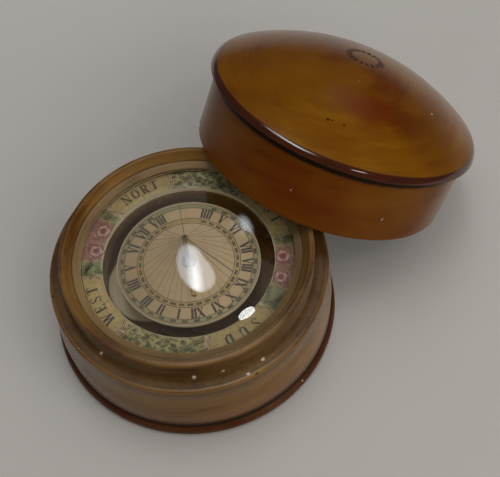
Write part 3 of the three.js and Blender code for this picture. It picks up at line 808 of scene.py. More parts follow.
def engraved_label(plate, word, middle, gap):
    """One compass word in its frame, with leaves at its ends and clouds along its inner side."""
    lettering(plate, word, middle, 21.75, 2.5, 1.0, gap)
    for side in (1, -1):
        for shift, width in ((0, 0.15), (1.2, 0.11)):
            rows = [-1 + i / 6 for i in range(13)]
            angles = [middle + side * (LABEL_HALF + shift - 2.6 * (t * t)) for t in rows]
            plate.stroke([(*polar(22.9 + 2.35 * t, a), width) for t, a in zip(rows, angles)])
        for radius, turn, size in ((20.9, -1, 1.3), (23.3, -1, 1.1), (24.6, 1, 1.5)):
            x, y = polar(radius, middle + side * (LABEL_HALF + 1.4))
            leaf(plate, x, y, middle + side * 90 + turn * side * 22, size, 0.8, 0.1)
    for spot, size in CLOUDS:
        cx, cy = polar(CLOUD_FOOT + size, middle + spot)
        line = []
        for i in range(50):
            dx, dy = polar(size, 7.5 * i)
            x, y = cx + dx, cy + dy
            radius, angle = math.hypot(x, y), math.degrees(math.atan2(y, x))
            if i < 49 and cloud_edge(angle, radius, middle) < 0.12 and radius > 20.5:
                line.append((x, y, 0.07))
                continue
            if len(line) > 2:
                plate.stroke(line)
            line = []
        for shift in (-0.5, -0.1, 0.3, 0.7) if size > 1.2 else ():
            reach = math.sqrt(size**2 - shift**2) * 0.6
            angle = middle + spot + math.degrees(shift / 21.5)
            low, high = (polar(CLOUD_FOOT + size + k * reach, angle) for k in (-1, 1))
            plate.stroke([(*low, 0.04), (*high, 0.06)])


def ring_engraving(height):
    """Everything printed in line on the ring: borders, labels and roses on the plate, and the green leaves."""
    plate, leaves = Engraving(height), Engraving(height - 0.004)
    for radius, width in ((20.3, 0.07), (25.1, 0.05), (25.45, 0.09)):
        plate.ring(radius, width)
    for word, middle, gap in LABELS:
        engraved_label(plate, word, middle, gap)
    for start, end in PANELS:
        span = (end - start) % 360
        for row, radius in enumerate((20.9, 21.7, 22.5, 23.3, 24.1, 24.8)):
            for i in range(17):
                angle = start + span * ((i + 0.5 + 0.4 * math.sin(row * 5 + i * 2.3)) / 17)
                x, y = polar(radius + 0.15 * math.sin(i * 3.1 + row), angle)
                heading = angle - 90 + 38 * math.sin(i * 1.7 + row * 2.1)
                leaf(leaves, x, y, heading, 1.2 + 0.4 * math.sin(i * 2.9 + row), 0.5, 0.09)

        def on_stem(t):
            return polar(22.7 + 0.9 * math.sin(t * math.pi * 6), start + span * t)

        leaves.stroke([(*on_stem(i / 60), 0.13) for i in range(61)])
        for i in range(9):
            t = (i + 0.5) / 9
            leaf(leaves, *on_stem(t), start + span * t + (35 if i % 2 else 145), 2.0, 1.0, 0.11)
    for start, end in POSIES:
        span = (end - start) % 360
        count = max(3, round(span / 2.2))
        for i in range(count):
            angle = start + span * (i + 0.5) / count
            for radius, turn in ((20.9, 50), (22.3, -60), (23.4, 160), (24.3, 120)):
                leaf(leaves, *polar(radius, angle), angle + turn + i * 31, 1.5, 0.85, 0.095)
    for rose_angle, rose_radius, size in ROSES:
        cx, cy = polar(rose_radius, rose_angle)
        for share_of, petals, offset, width in ((0.95, 5, 0.0, 0.1), (0.74, 6, 30, 0.06), (0.4, 4, 10, 0.09)):
            for i in range(petals):
                angle = 360 * i / petals + offset + rose_angle * 3
                px, py = polar(size * share_of * 0.45, angle)
                plate.ring(size * share_of * 0.56, width, angle - 70, 140, (cx + px, cy + py))
        plate.ring(size * 0.2, 0.09, 0, 300, (cx, cy))
        for i in range(9):
            angle = rose_angle - 80 + 20 * i
            (ax, ay), (bx, by) = polar(size * 1.06, angle), polar(size * (1.3 + 0.12 * math.sin(i * 4)), angle + 5)
            plate.stroke([(cx + ax, cy + ay, 0.09), (cx + bx, cy + by, 0.05)])
    return plate.mesh(), leaves.mesh()


# Numerals, with where their hour lines meet the circle
NUMERALS = "IIII V VI VII VIII IX X XI XII I II III IIII V VI VII VIII".split()
HOUR_ANGLES = (62.0, 44.8, 27.0, 2.4, -17.5, -38.5, -55.7, -71.9, -91.6)
HOUR_ANGLES += (-109.3, -127.1, -143.8, -166.5, -186.2, -207.7, -227.0, -247.5)
HUB_X, HUB_Y = 0.19, 6.9


def card_engraving(height):
    """Everything printed in line on the card: its borders, numerals, hour lines and the star at their hub."""
    plate = Engraving(height)
    for radius, width in ((16.45, 0.12), (16.1, 0.14), (15.1, 0.14), (12.12, 0.15), (10.72, 0.15)):
        plate.ring(radius, width)
    for word, angle in zip(NUMERALS, HOUR_ANGLES):
        lettering(plate, word, angle, 12.45, 2.5, 0.82, 0.01 if len(word) > 2 else 0.05)
    halves = [(a + b) / 2 for a, b in zip(HOUR_ANGLES, HOUR_ANGLES[1:])]
    for angles, width, start in ((HOUR_ANGLES, 0.085, 0.5), (halves, 0.045, 3.0), ((-27.2, -28.4), 0.1, 0.8)):
        for angle in angles:
            x, y = polar(10.72, angle)
            near = start / math.hypot(x - HUB_X, y - HUB_Y)
            plate.stroke([(HUB_X + (x - HUB_X) * near, HUB_Y + (y - HUB_Y) * near, width), (x, y, width)])
    plate.stroke([(HUB_X, HUB_Y, 0.16), (0.25, 12, 0.12), (0.45, 16.4, 0.14)])
    for i in range(16):
        x, y = polar(0.95 if i % 2 else 0.55, 22.5 * i)
        plate.stroke([(HUB_X, HUB_Y, 0.3), (HUB_X + x, HUB_Y + y, 0.05)])
    return plate.mesh()


# Marks repeated round a circle, by Geometry Nodes

MARK_INPUTS = (("Count", "Int"), ("Circle radius", "Float"), ("Start", "Float"), ("Step", "Float"))
MARK_INPUTS += (("Length", "Float"), ("Width", "Float"), ("Height", "Float"), ("Level", "Float"))
MARK_INPUTS += (("Uneven", "Float"), ("Seed", "Int"))


def repeat_tree(name, material):
    """A node tree that sets one small block at even steps along an arc, and its inputs' identifiers."""
    tree = bpy.data.node_groups.new(name, "GeometryNodeTree")
    tree.interface.new_socket("Geometry", in_out="OUTPUT", socket_type="NodeSocketGeometry")
    made = [tree.interface.new_socket(n, in_out="INPUT", socket_type="NodeSocket" + kind) for n, kind in MARK_INPUTS]
    entry, leave = tree.nodes.new("NodeGroupInput"), tree.nodes.new("NodeGroupOutput")
    build = Nodes(tree)
    count, radius, start, step, size_y, size_x, size_z, level, uneven, seed = (
        Value(build, entry.outputs[label]) for label, _ in MARK_INPUTS
    )
    angle = start + step * build.node("GeometryNodeInputIndex", {})
    spot = build.node("CombineXYZ", {}, radius * angle.cosine(), radius * angle.sine(), level)
    marks = build.node("GeometryNodeMeshLine", {"mode": "OFFSET"}, Count=count, Offset=(0, 0, 0))
    marks = build.node("GeometryNodeSetPosition", {}, Geometry=marks, Position=spot)
    block = build.node("GeometryNodeMeshCube", {}, build.node("CombineXYZ", {}, size_x, size_y, size_z), 2, 4, 2)
    turn = build.node("CombineXYZ", {}, Z=angle)
    limits = (1.0 - uneven, 1.0 + uneven)
    size = build.node("FunctionNodeRandomValue", {"data_type": "FLOAT"}, None, None, *limits, out=1, Seed=seed)
    placed = build.node("GeometryNodeInstanceOnPoints", {}, Points=marks, Instance=block, Rotation=turn, Scale=size)
    real = build.node("GeometryNodeRealizeInstances", {}, placed)
    done = build.node("GeometryNodeSetMaterial", {}, real, Material=material)
    tree.links.new(done.socket, leave.inputs[0])
    return tree, {socket.name: socket.identifier for socket in made}


def repeated(name, material, **sizes):
    """The mesh that the tree of repeated marks gives for these sizes."""
    tree, sockets = repeat_tree(name, material)
    carrier = shown(name + "_carrier", bpy.data.meshes.new(name))
    modifier = carrier.modifiers.new("Repeated marks", "NODES")
    modifier.node_group = tree
    for label, value in sizes.items():
        modifier[sockets[label.replace("_", " ")]] = value
    bpy.context.view_layer.update()
    ready = carrier.evaluated_get(bpy.context.evaluated_depsgraph_get())
    mesh = bpy.data.meshes.new_from_object(ready)
    carrier.modifiers.clear()
    bpy.data.objects.remove(carrier)
    return mesh


# The stage and the pieces


class SUNDIAL_OT_stage(bpy.types.Operator):
    """Lays the pale table, hangs the soft light and sets up the camera"""

    bl_idname = "sundial.stage"
    bl_label = "Stage"

    def soft_box(self, strength):
        """A drop-shaped glowing panel overhead, brightest along a line towards its round end."""
        height = 800
        drop = [(0.002, 0.567), (0.123, 0.459), (0.169, 0.31), (0.226, 0.186), (0.245, 0.065), (0.218, -0.026)]
        drop += [(0.15, -0.075), (0.053, -0.08), (-0.018, -0.034), (-0.078, 0.039), (-0.121, 0.149)]
        drop += [(-0.136, 0.276), (-0.12, 0.405), (-0.081, 0.512)]
        outline = []
        for i in range(len(drop)):
            a, b, c, d = (Vector(drop[(i + k) % len(drop)]) for k in (-1, 0, 1, 2))
            for t in (k / 6 for k in range(6)):
                bend = b * 2 + (c - a) * t + (a * 2 - b * 5 + c * 4 - d) * t * t + (b * 3 - a - c * 3 + d) * t**3
                outline.append(bend / 2)
        heart = Vector((0.07, 0.16))
        glow_of_ring = {1.0: 0.3, 0.93: 0.7, 0.84: 0.95, 0.7: 1.0, 0.5: 1.0, 0.25: 1.0}
        flat = [heart + (v - heart) * reach for reach in glow_of_ring for v in outline] + [heart]
        points = [(v.x * height, v.y * height, height) for v in flat]
        glow_at = [level for level in glow_of_ring.values() for _ in outline] + [1.0]
        size, last = len(outline), len(points) - 1
        around = [(i, (i + 1) % size) for i in range(size)]
        faces = [(k + i, k + n, k + size + n, k + size + i) for k in range(0, last - size, size) for i, n in around]
        panel = mesh_of(points, faces + [(last - size + i, last - size + n, last) for i, n in around])
        panel.attributes.new("glow", "FLOAT", "POINT").data.foreach_set("value", glow_at)
        glow = Finish("soft_box_glow")
        x, y, _ = glow.parts_of(glow.node("TexCoord", {}, out="Object"))
        off = x - 0.02 - y * 0.06
        core = glow.step((off * off) ** 0.5, 0.085, 0.0)
        even = (core * (glow.step(y, 0.4, 0.06) * 0.55 + 0.2) + 0.36) * glow.attribute("glow")
        shader = glow.node("Emission", {}, Color=(0.92, 0.955, 1), Strength=even * strength)
        panel.materials.append(glow.end(shader))
        lamp = shown("soft_box", panel)
        lamp.visible_camera = False

    def table(self, settings):
        """A pale table whose far edge fades into the backdrop."""
        finish = Finish("table_top")
        where = finish.place()
        grain = finish.noise(where, 1.3, 3.0, 0.6)
        x, y, _ = finish.parts_of(where)
        drift = finish.step(finish.noise(where, 0.012, 3.0), 0.3, 0.7)
        colour = finish.mix(drift * 0.12, settings.floor, tone(150, 143, 136))
        # Painted light: the table pales towards the far left, making up for lamp light that falls off there.
        colour = finish.mix(finish.step(y * 0.9 - x * 0.4, 20.0, 130.0) * 0.3, colour, tone(180, 176, 172))
        normal = finish.bump(grain, 0.01 * MM, 0.3)
        near = finish.node("BsdfPrincipled", {}, Base_Color=colour, Roughness=grain * 0.1 + 0.62, Normal=normal)
        fade = finish.step((x * x + y * y) ** 0.5, 330.0, 900.0) * finish.ray("Camera")
        far = finish.node("Emission", {}, Color=settings.backdrop, Strength=1.0)
        r = 2500
        mesh = mesh_of([(-r, -r, 0), (r, -r, 0), (r, r, 0), (-r, r, 0)], [(0, 1, 2, 3)])
        mesh.materials.append(finish.end(finish.node("MixShader", {}, fade, near, far)))
        shown("table", mesh)

    def area_lamp(self, name, aim, distance, size, power_of_lamp, colour, turn=0):
        light = bpy.data.lights.new(name, "AREA")
        light.shape, light.size, light.size_y = "ELLIPSE", *size
        light.energy, light.color = power_of_lamp, colour
        lamp = shown(name, light)
        way = Vector(aim).normalized()
        lamp.location = way * distance
        lamp.rotation_euler = way.to_track_quat("Z", "Y").to_euler()
        lamp.rotation_euler.rotate_axis("Z", math.radians(turn))
        return lamp

    def camera(self):
        lens = bpy.data.cameras.new("camera")
        lens.sensor_width, lens.lens = 36, 60.77
        lens.clip_start, lens.clip_end = 0.01, 20
        right, up, ahead = Vector((1, 0, 0)), Vector((0, 0.8537, 0.5207)), Vector((0, 0.5207, -0.8537))

        def turned_by(degrees, one, other):
            a = math.radians(degrees)
            return math.cos(a) * one - math.sin(a) * other, math.sin(a) * one + math.cos(a) * other

        right, ahead = turned_by(4.37, right, ahead)
        up, ahead = turned_by(0.69, up, ahead)
        right, up = turned_by(11.49, right, up)
        camera = shown("camera", lens)
        turn = Matrix((right, up, -ahead)).transposed().to_4x4()
        camera.matrix_world = Matrix.Translation(Vector((0, -103.53, 190.75)) * MM) @ turn
        return camera

    def execute(self, context):
        s = context.scene.sundial_stage
        self.table(s)
        warm = (1, 0.99, 0.98)
        self.area_lamp("side_light", (0.48, -0.33, 0.815), 0.9, (0.19, 0.085), s.side, (1, 1, 1), -28)
        self.area_lamp("cool_light", (0.571, 0.608, 0.551), 0.9, (0.3, 0.26), s.sky, (0.8, 0.88, 1))
        fill = self.area_lamp("fill_light", (0.42, -0.72, 0.48), 1.2, (1.4, 0.7), s.fill, warm)
        fill.visible_glossy = False
        overhead = self.area_lamp("top_light", (0.2, 0.06, 1), 1.1, (1.8, 1.8), s.top, warm)
        overhead.visible_glossy = overhead.visible_transmission = False
        self.soft_box(s.lamp)
        room = Finish("room", "worlds", "ShaderNodeOutputWorld")
        strength = room.ray("Glossy") * (-0.6 * s.air) + s.air
        lit = room.node("Background", {}, Color=(0.96, 0.985, 1), Strength=strength)
        beyond = room.node("Background", {}, Color=s.backdrop)
        direct = room.ray("Camera").most(room.ray("Transmission"))
        context.scene.world = room.end(room.node("MixShader", {}, direct, lit, beyond))
        context.scene.view_settings.view_transform = "Standard"
        context.scene.camera = self.camera()
        return {"FINISHED"}


class SUNDIAL_OT_case(bpy.types.Operator):
    """Turns the case: foot, quirk, wall, ledge, neck, glass seat, shelf and well"""

    bl_idname = "sundial.case"
    bl_label = "Case"

    def execute(self, context):
        s = context.scene.sundial_case
        sizes = (s.foot_radius, s.ledge_radius, s.neck_radius, s.bore_radius, s.well_radius, s.ledge_height)
        foot_r, ledge, neck, bore, well, high = (v / MM for v in sizes)
        top, shelf, floor, stud_r, stud_z = CASE_HIGH.z, high - 0.4, 11.5, 1.5, 8.4
        line = rounded(
            [
                # Each corner's fourth value darkens the wood: the foot is darker all round.
                *((0, 0, 0, 0.3), (foot_r, 0, 1.5, 0.6), (foot_r, 2.566, 1.5, 0.42), (foot_r - 0.75, 3.0, 0, 0.6)),
                # Painted shade: the groove above the foot is darkened nearly to the dark colour.
                *((foot_r - 1.8, 3.2, 0.04, 1.0), (foot_r - 1.8, 3.6, 0.04, 1.0), (foot_r - 1.1, 4.0, 0.15, 1.1)),
                *((foot_r - 1.12, 4.7, 0, 0.95), (foot_r - 1.14, 5.8, 0.4, 0.28), (foot_r - 1.14, 9.0, 0, 0.05)),
                # The wall grows darker towards its top, and the ledge is darker across its middle.
                *((ledge + 0.13, high - 4.5, 0, 0.22), (ledge + 0.1, high - 1.6, 1.6, 0.5), (ledge, high, 0.45, 0.25)),
                *((ledge - 0.8, high, 0, 0.5), (ledge - 1.0, high, 0, 0.65), (ledge - 1.3, high, 0, 0.5)),
                # Painted shade in the corner of the ledge and up the neck wall; the edges of the land are pale with
                # wear.
                *((neck + 0.35, high, 0.1, 0.55), (neck, high, 0.06, 0.5), (neck, high + 0.4, 0.1, 0.5)),
                *((neck, top - 1.0, 0, 0.48), (neck, top, 0.45, -0.35), (neck - 0.6, top, 0, 0.0)),
                # Painted shade at the foot of the bore, in the gap beside the hoop; darker in the corner under the
                # ring, down the well and on the stud under the card.
                *((neck - 1.1, top, 0.3, -0.2), (bore + 0.3, top - 1.7, 0, 0.05), (bore, top - 2.1, 0.1, 0.5)),
                *((bore, shelf, 0.04, 0.9), (well, shelf, 0.1, 0.3), (well, floor, 0.5, 0.1)),
                *((stud_r, floor, 0.05, 0.2), (stud_r, stud_z, 0.02, 0.9), (0, stud_z, 0, 0.9)),
            ]
        )
        worn = [
            *((-3.85, -29.3, 21.4, 1.0, 0.25, "chip"), (2.6, -29.3, 21.5, 0.9, 0.2, "chip")),
            *((4.1, -29.4, 21.3, 0.6, 0.1, "chip"), (7.75, -31.0, 21.0, 0.75, 0.15, "chip")),
            *((11.6, -28.3, 21.05, 0.85, 0.15, "chip"), (9.7, -31.4, 20.9, 0.9, 0.1, "pit")),
            *((-16.0, 21.8, 27.1, 1.1, 0.08, "chip"), (-13.6, 23.0, 27.1, 0.95, 0.08, "chip")),
            *((-3.5, 24.9, 27.1, 1.0, 0.08, "chip"), (-4.8, 24.5, 27.1, 0.9, 0.08, "chip")),
            *((-26.1, 4.2, 27.1, 0.9, 0.08, "chip"), (-22.9, -18.8, 21.1, 0.7, 0.12, "chip")),
            *((-27.6, -16.6, 21.0, 0.45, 0.1, "chip"), (21.8, -25.9, 4.6, 0.55, 0.1, "chip")),
            *((1.0, -33.7, 3.3, 0.5, 0.1, "chip"), (20.9, -27.8, 2.7, 0.55, 0.1, "chip")),
            *((-16.3, 21.9, 27.1, 0.9, 0.15, "pit"), (-12.9, 23.7, 27.0, 0.8, 0.15, "pit")),
            *((-23.7, 13.4, 27.0, 0.8, 0.1, "pit"), (24.2, -13.2, 27.1, 0.7, 0.1, "pit")),
            (-32.4, -2.0, 20.9, 0.6, 0.12, "pit"),
        ]
        tones = (s.light, s.middle, s.dark, s.dirt)
        stains = ((11.0, 5.0, tone(112, 62, 22), 0.24), (3.3, 0.5, tone(62, 18, 3), 0.6))
        # Painted light: a pale patch on the floor of the well, towards the left, stands for lamp light falling between
        # the card and the ring.
        painted_light_pool = ((-9.6, 1.9, floor), 10.6, 0.35, tone(192, 170, 138), 1.0)
        material = wood("case_boxwood", tones, None, s.gloss, 0.35, 11.0, stains, (painted_light_pool,))
        mesh = turned(split(line, 1.3), 480, worn=worn)
        finished("turned_case", mesh, material, "case", ["case_base"], smooth=True)
        return {"FINISHED"}


def washer(inner, outer, low, high):
    """A plain flat ring of board."""
    return turned([(inner, low, 0), (outer, low, 0), (outer, high, 0), (inner, high, 0)], 240, closed=True)


class SUNDIAL_OT_ring(bpy.types.Operator):
    """Lays the printed ring of compass points on its board"""

    bl_idname = "sundial.ring"
    bl_label = "Compass ring"

    def execute(self, context):
        prints = context.scene.sundial_prints
        inner, outer, low, top = 20.1, RING_HIGH.x, RING_LOW.z, RING_HIGH.z
        mesh = washed_ring(inner, outer, low, top, 1080, 36, lambda *where: ring_colour(prints, *where))
        finished("ring_paper", mesh, paper("ring_print_paper", prints), "case", ["compass_ring"])
        board = pasteboard("ring_pasteboard", prints.board)
        mesh = washer(inner, outer, BACKING_LOW.z, BACKING_HIGH.z)
        finished("ring_backing", mesh, board, "case", ["ring_board"])
        plate, leaves = ring_engraving(top)
        ink = printed_ink("ring_ink", prints.ink, tone(78, 70, 48))
        finished("ring_engraving", plate, ink, "case")
        green_ink = printed_ink("ring_leaf_ink", tone(60, 58, 34), tone(88, 84, 54))
        finished("ring_leaves", leaves, green_ink, "case")
        return {"FINISHED"}


class SUNDIAL_OT_glass(bpy.types.Operator):
    """Sets the domed glass on the ring and springs the hoop in round it"""

    bl_idname = "sundial.glass"
    bl_label = "Glass and hoop"

    def execute(self, context):
        s = context.scene.sundial_glass
        thickness, crown_radius, rise = (v / MM for v in (s.thickness, s.crown_radius, s.crown_rise))
        edge, low, top = GLASS_HIGH.x, GLASS_LOW.z, GLASS_HIGH.z
        edge_top = low + 0.6
        size = sphere_size(crown_radius, rise)
        steep = math.atan2(edge - crown_radius, top - rise - edge_top)
        shallow = math.pi / 2 - math.asin(crown_radius / size)
        step = thickness / math.cos((shallow - steep) / 2)
        outer_line = crown(crown_radius, top, size, 40)
        inner_crown = crown_radius - step * math.cos((steep + shallow) / 2)
        inner_line = crown(inner_crown, top - thickness, size - thickness, 40)
        bevel = [(*inner_line[1][:2], 0, 0), (*inner_line[0][:2], 0.1, 0), (edge - thickness, low, 0.1, 0)]
        bevel += [(edge, low, 0.15, 0), (edge, edge_top, 0.15, 0)]
        bevel += [(*outer_line[0][:2], 0.15, 0), (*outer_line[1][:2], 0, 0)]
        mesh = turned([*reversed(inner_line[2:]), *rounded(bevel), *outer_line[2:]], 360)
        clear = old_glass("old_glass", s.tint)
        finished("domed_glass", mesh, clear, "case", ["glass_dome"], smooth=True)
        inner, outer, foot_z, top = 26.0, HOOP_HIGH.x + 0.15, HOOP_LOW.z, HOOP_HIGH.z
        lip = top - 0.9
        # Painted shade at the outer top edge, by the gap to the bore; darker at the foot and the inner face by the
        # glass; the lip is pale.
        corners = [(inner, foot_z, 0.05, 0.8), (outer, foot_z, 0.05, 0.8), (outer, top, 0.08, 0.35)]
        corners += [(inner, top - 0.265, 0, 0.0), (25.2, lip + 0.212, 0, 0.05), (24.8, lip, 0.2, -0.45)]
        corners.append((inner, edge_top + 0.2, 0.05, 0.8))
        hoop = turned(rounded(corners, closed=True), 360, closed=True)
        tones = (tone(116, 92, 58), tone(102, 80, 50), tone(80, 60, 34), context.scene.sundial_case.dark)
        material = wood("hoop_cane", tones, None, 0.42, 0.9, 31.0)
        finished("retaining_hoop", hoop, material, "case", ["glass_hoop"], smooth=True)
        return {"FINISHED"}


class SUNDIAL_OT_card(bpy.types.Operator):
    """Makes the swinging dial card with its print, its board and its rows of check marks"""

    bl_idname = "sundial.card"
    bl_label = "Dial card"

    def execute(self, context):
        prints = context.scene.sundial_prints
        hole, radius, low, top = 1.75, 16.75, CARD_LOW.z, CARD_HIGH.z
        mesh = washed_ring(hole, radius, low, top, 720, 60, lambda *where: card_colour(prints, *where))
        finished("card_paper", mesh, paper("card_print_paper", prints), "card", ["dial_card"])
        board = pasteboard("card_pasteboard", prints.board)
        mesh = washer(hole, radius - 0.15, BOARD_LOW.z, BOARD_HIGH.z)
        finished("card_backing", mesh, board, "card", ["card_board"])
        ink = printed_ink("card_ink", prints.ink, tone(92, 72, 54))
        finished("card_engraving", card_engraving(top), ink, "card")
        olive = printed_ink("check_ink", tone(56, 48, 24), tone(88, 74, 38))
        rows = {"card_outer_checks": (15.6, 1.35, 117, 31, 3), "card_inner_checks": (11.42, 1.3, 112, 32, 9)}
        for name, (row_radius, size, start, count, seed) in rows.items():
            arc = {"Count": count, "Circle_radius": row_radius * MM, "Start": math.radians(start), "Uneven": 0.08}
            block = {"Length": size * MM, "Width": 0.62 * MM, "Height": 0.04 * MM, "Level": top * MM}
            checks = repeated(name, olive, **arc, **block, Step=math.radians(10), Seed=seed)
            finished(name, checks, olive, "card")
        return {"FINISHED"}


class SUNDIAL_OT_gnomon(bpy.types.Operator):
    """Cuts the brass gnomon with its scrolled back, and turns the cap that the card hangs on"""

    bl_idname = "sundial.gnomon"
    bl_label = "Gnomon and cap"

    def plate(self):
        """The gnomon's plate with its two tabs and the arch that clears the cap."""
        hub, height, reach, half_thick, latitude = -6.9, 7.6, 16.4, 0.45, math.radians(51.5)
        base = PLATE_HIGH.z - height
        top_start = hub + height / math.tan(latitude)
        top_end, toe = top_start + 0.5, hub + reach
        run, scroll = toe - top_end, 3.0

        def at(along, up):
            return top_end + along * run, base + up

        def curve(points, steps):
            for t in (i / steps for i in range(1, steps + 1)):
                work = points
                while len(work) > 1:
                    work = [(p[0] + (q[0] - p[0]) * t, p[1] + (q[1] - p[1]) * t) for p, q in zip(work, work[1:])]
                outline.append(work[0])

        outline = [(hub, base), (top_start, base + height), (top_end, base + height)]
        cusp, scroll_end = at(0.26, 0.66 * scroll), at(0.6, 0.5 * scroll)
        curve([outline[-1], at(0.06, 0.45 * height), at(0.2, 0.66 * scroll), cusp], 14)
        curve([cusp, at(0.28, 1.18 * scroll), at(0.52, 1.18 * scroll), scroll_end], 14)
        curve([scroll_end, at(0.72, 0.7), (toe, base + 0.7)], 10)
        arch = CAP_HIGH.z + 0.3 - base
        low = BOARD_LOW.z
        outline += [(toe, base), (6.8, base), (6.8, low), (4.8, low), (4.8, base)]
        angles = [math.pi * i / 18 for i in range(19)]
        outline += [(1.9 * math.cos(a), base + arch * math.sin(a)) for a in angles]
        outline += [(-3.6, base), (-3.6, low), (-5.6, low), (-5.6, base)]
        count = len(outline)
        points = [(x, side * half_thick, z) for side in (1, -1) for x, z in outline]
        faces = [tuple(range(count)), tuple(range(2 * count - 1, count - 1, -1))]
        faces += [(i, count + i, count + (i + 1) % count, (i + 1) % count) for i in range(count)]
        mesh = mesh_of(points, faces)
        mesh.transform(CARD_TURN)
        outward(mesh, merged=False)
        work = bmesh.new()
        work.from_mesh(mesh)
        rims = [e for e in work.edges if len(e.link_faces) == 2 and e.calc_face_angle() > 1.2]
        bmesh.ops.bevel(work, geom=rims, offset=0.07 * MM, segments=2, profile=0.6, affect="EDGES", clamp_overlap=True)
        bmesh.ops.triangulate(work, faces=[f for f in work.faces if len(f.verts) > 4])
        work.verts.index_update()
        points = [tuple(v.co) for v in work.verts]
        # The bevel gives its faces in no fixed order, so they are sorted to be the same in each run
        loops = [[v.index for v in face.verts] for face in work.faces]
        faces = sorted(min(loop[i:] + loop[:i] for i in range(len(loop))) for loop in loops)
        work.free()
        mesh.clear_geometry()
        mesh.from_pydata(points, [], faces)
        mesh.update()
        return mesh

    def execute(self, context):
        brass = metal("old_brass", context.scene.sundial_metals.brass, tone(88, 68, 40), 0.22)
        finished("gnomon_plate", self.plate(), brass, "card", ["gnomon"])
        flange, radius, bore, low, top, rise = 2.7, 1.6, 1.1, CAP_LOW.z, CAP_HIGH.z, 0.6
        corners = [(0, top - 1.1, 0), (bore, top - 1.1, 0.05), (bore, low, 0.05), (flange, low, 0.1)]
        corners += [(flange, low + 0.5, 0.1), (radius, low + 0.5, 0.05), (radius, top - rise, 0.15)]
        corners += [(r, z, 0) for r, z, _ in crown(radius, top, sphere_size(radius, rise), 12)[1:]]
        cap = turned(rounded([(*corner, 0) for corner in corners]), 96)
        finished("needle_cap", cap, brass, "card", ["cap"], smooth=True)
        return {"FINISHED"}


class SUNDIAL_OT_works(bpy.types.Operator):
    """Finishes the magnet, its paper straps, the stone, the steel point and the stud under the card"""

    bl_idname = "sundial.works"
    bl_label = "Magnet, point and stud"

    def execute(self, context):
        s = context.scene.sundial_metals
        steel = metal("blued_steel", s.steel, tone(62, 50, 42), 0.28)
        strap = paper("strap_paper", context.scene.sundial_prints, wash=False)
        given = {"magnet_needle": steel, "pivot_pin": steel, "needle_strap_north": strap, "needle_strap_south": strap}
        given["pivot_stud"] = metal("stud_brass", s.brass, tone(88, 68, 40), 0.28)
        given["cap_jewel"] = stone("cap_agate", s.agate)
        for node, material in given.items():
            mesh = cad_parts[node].data
            mesh.materials.clear()
            mesh.materials.append(material)
        return {"FINISHED"}


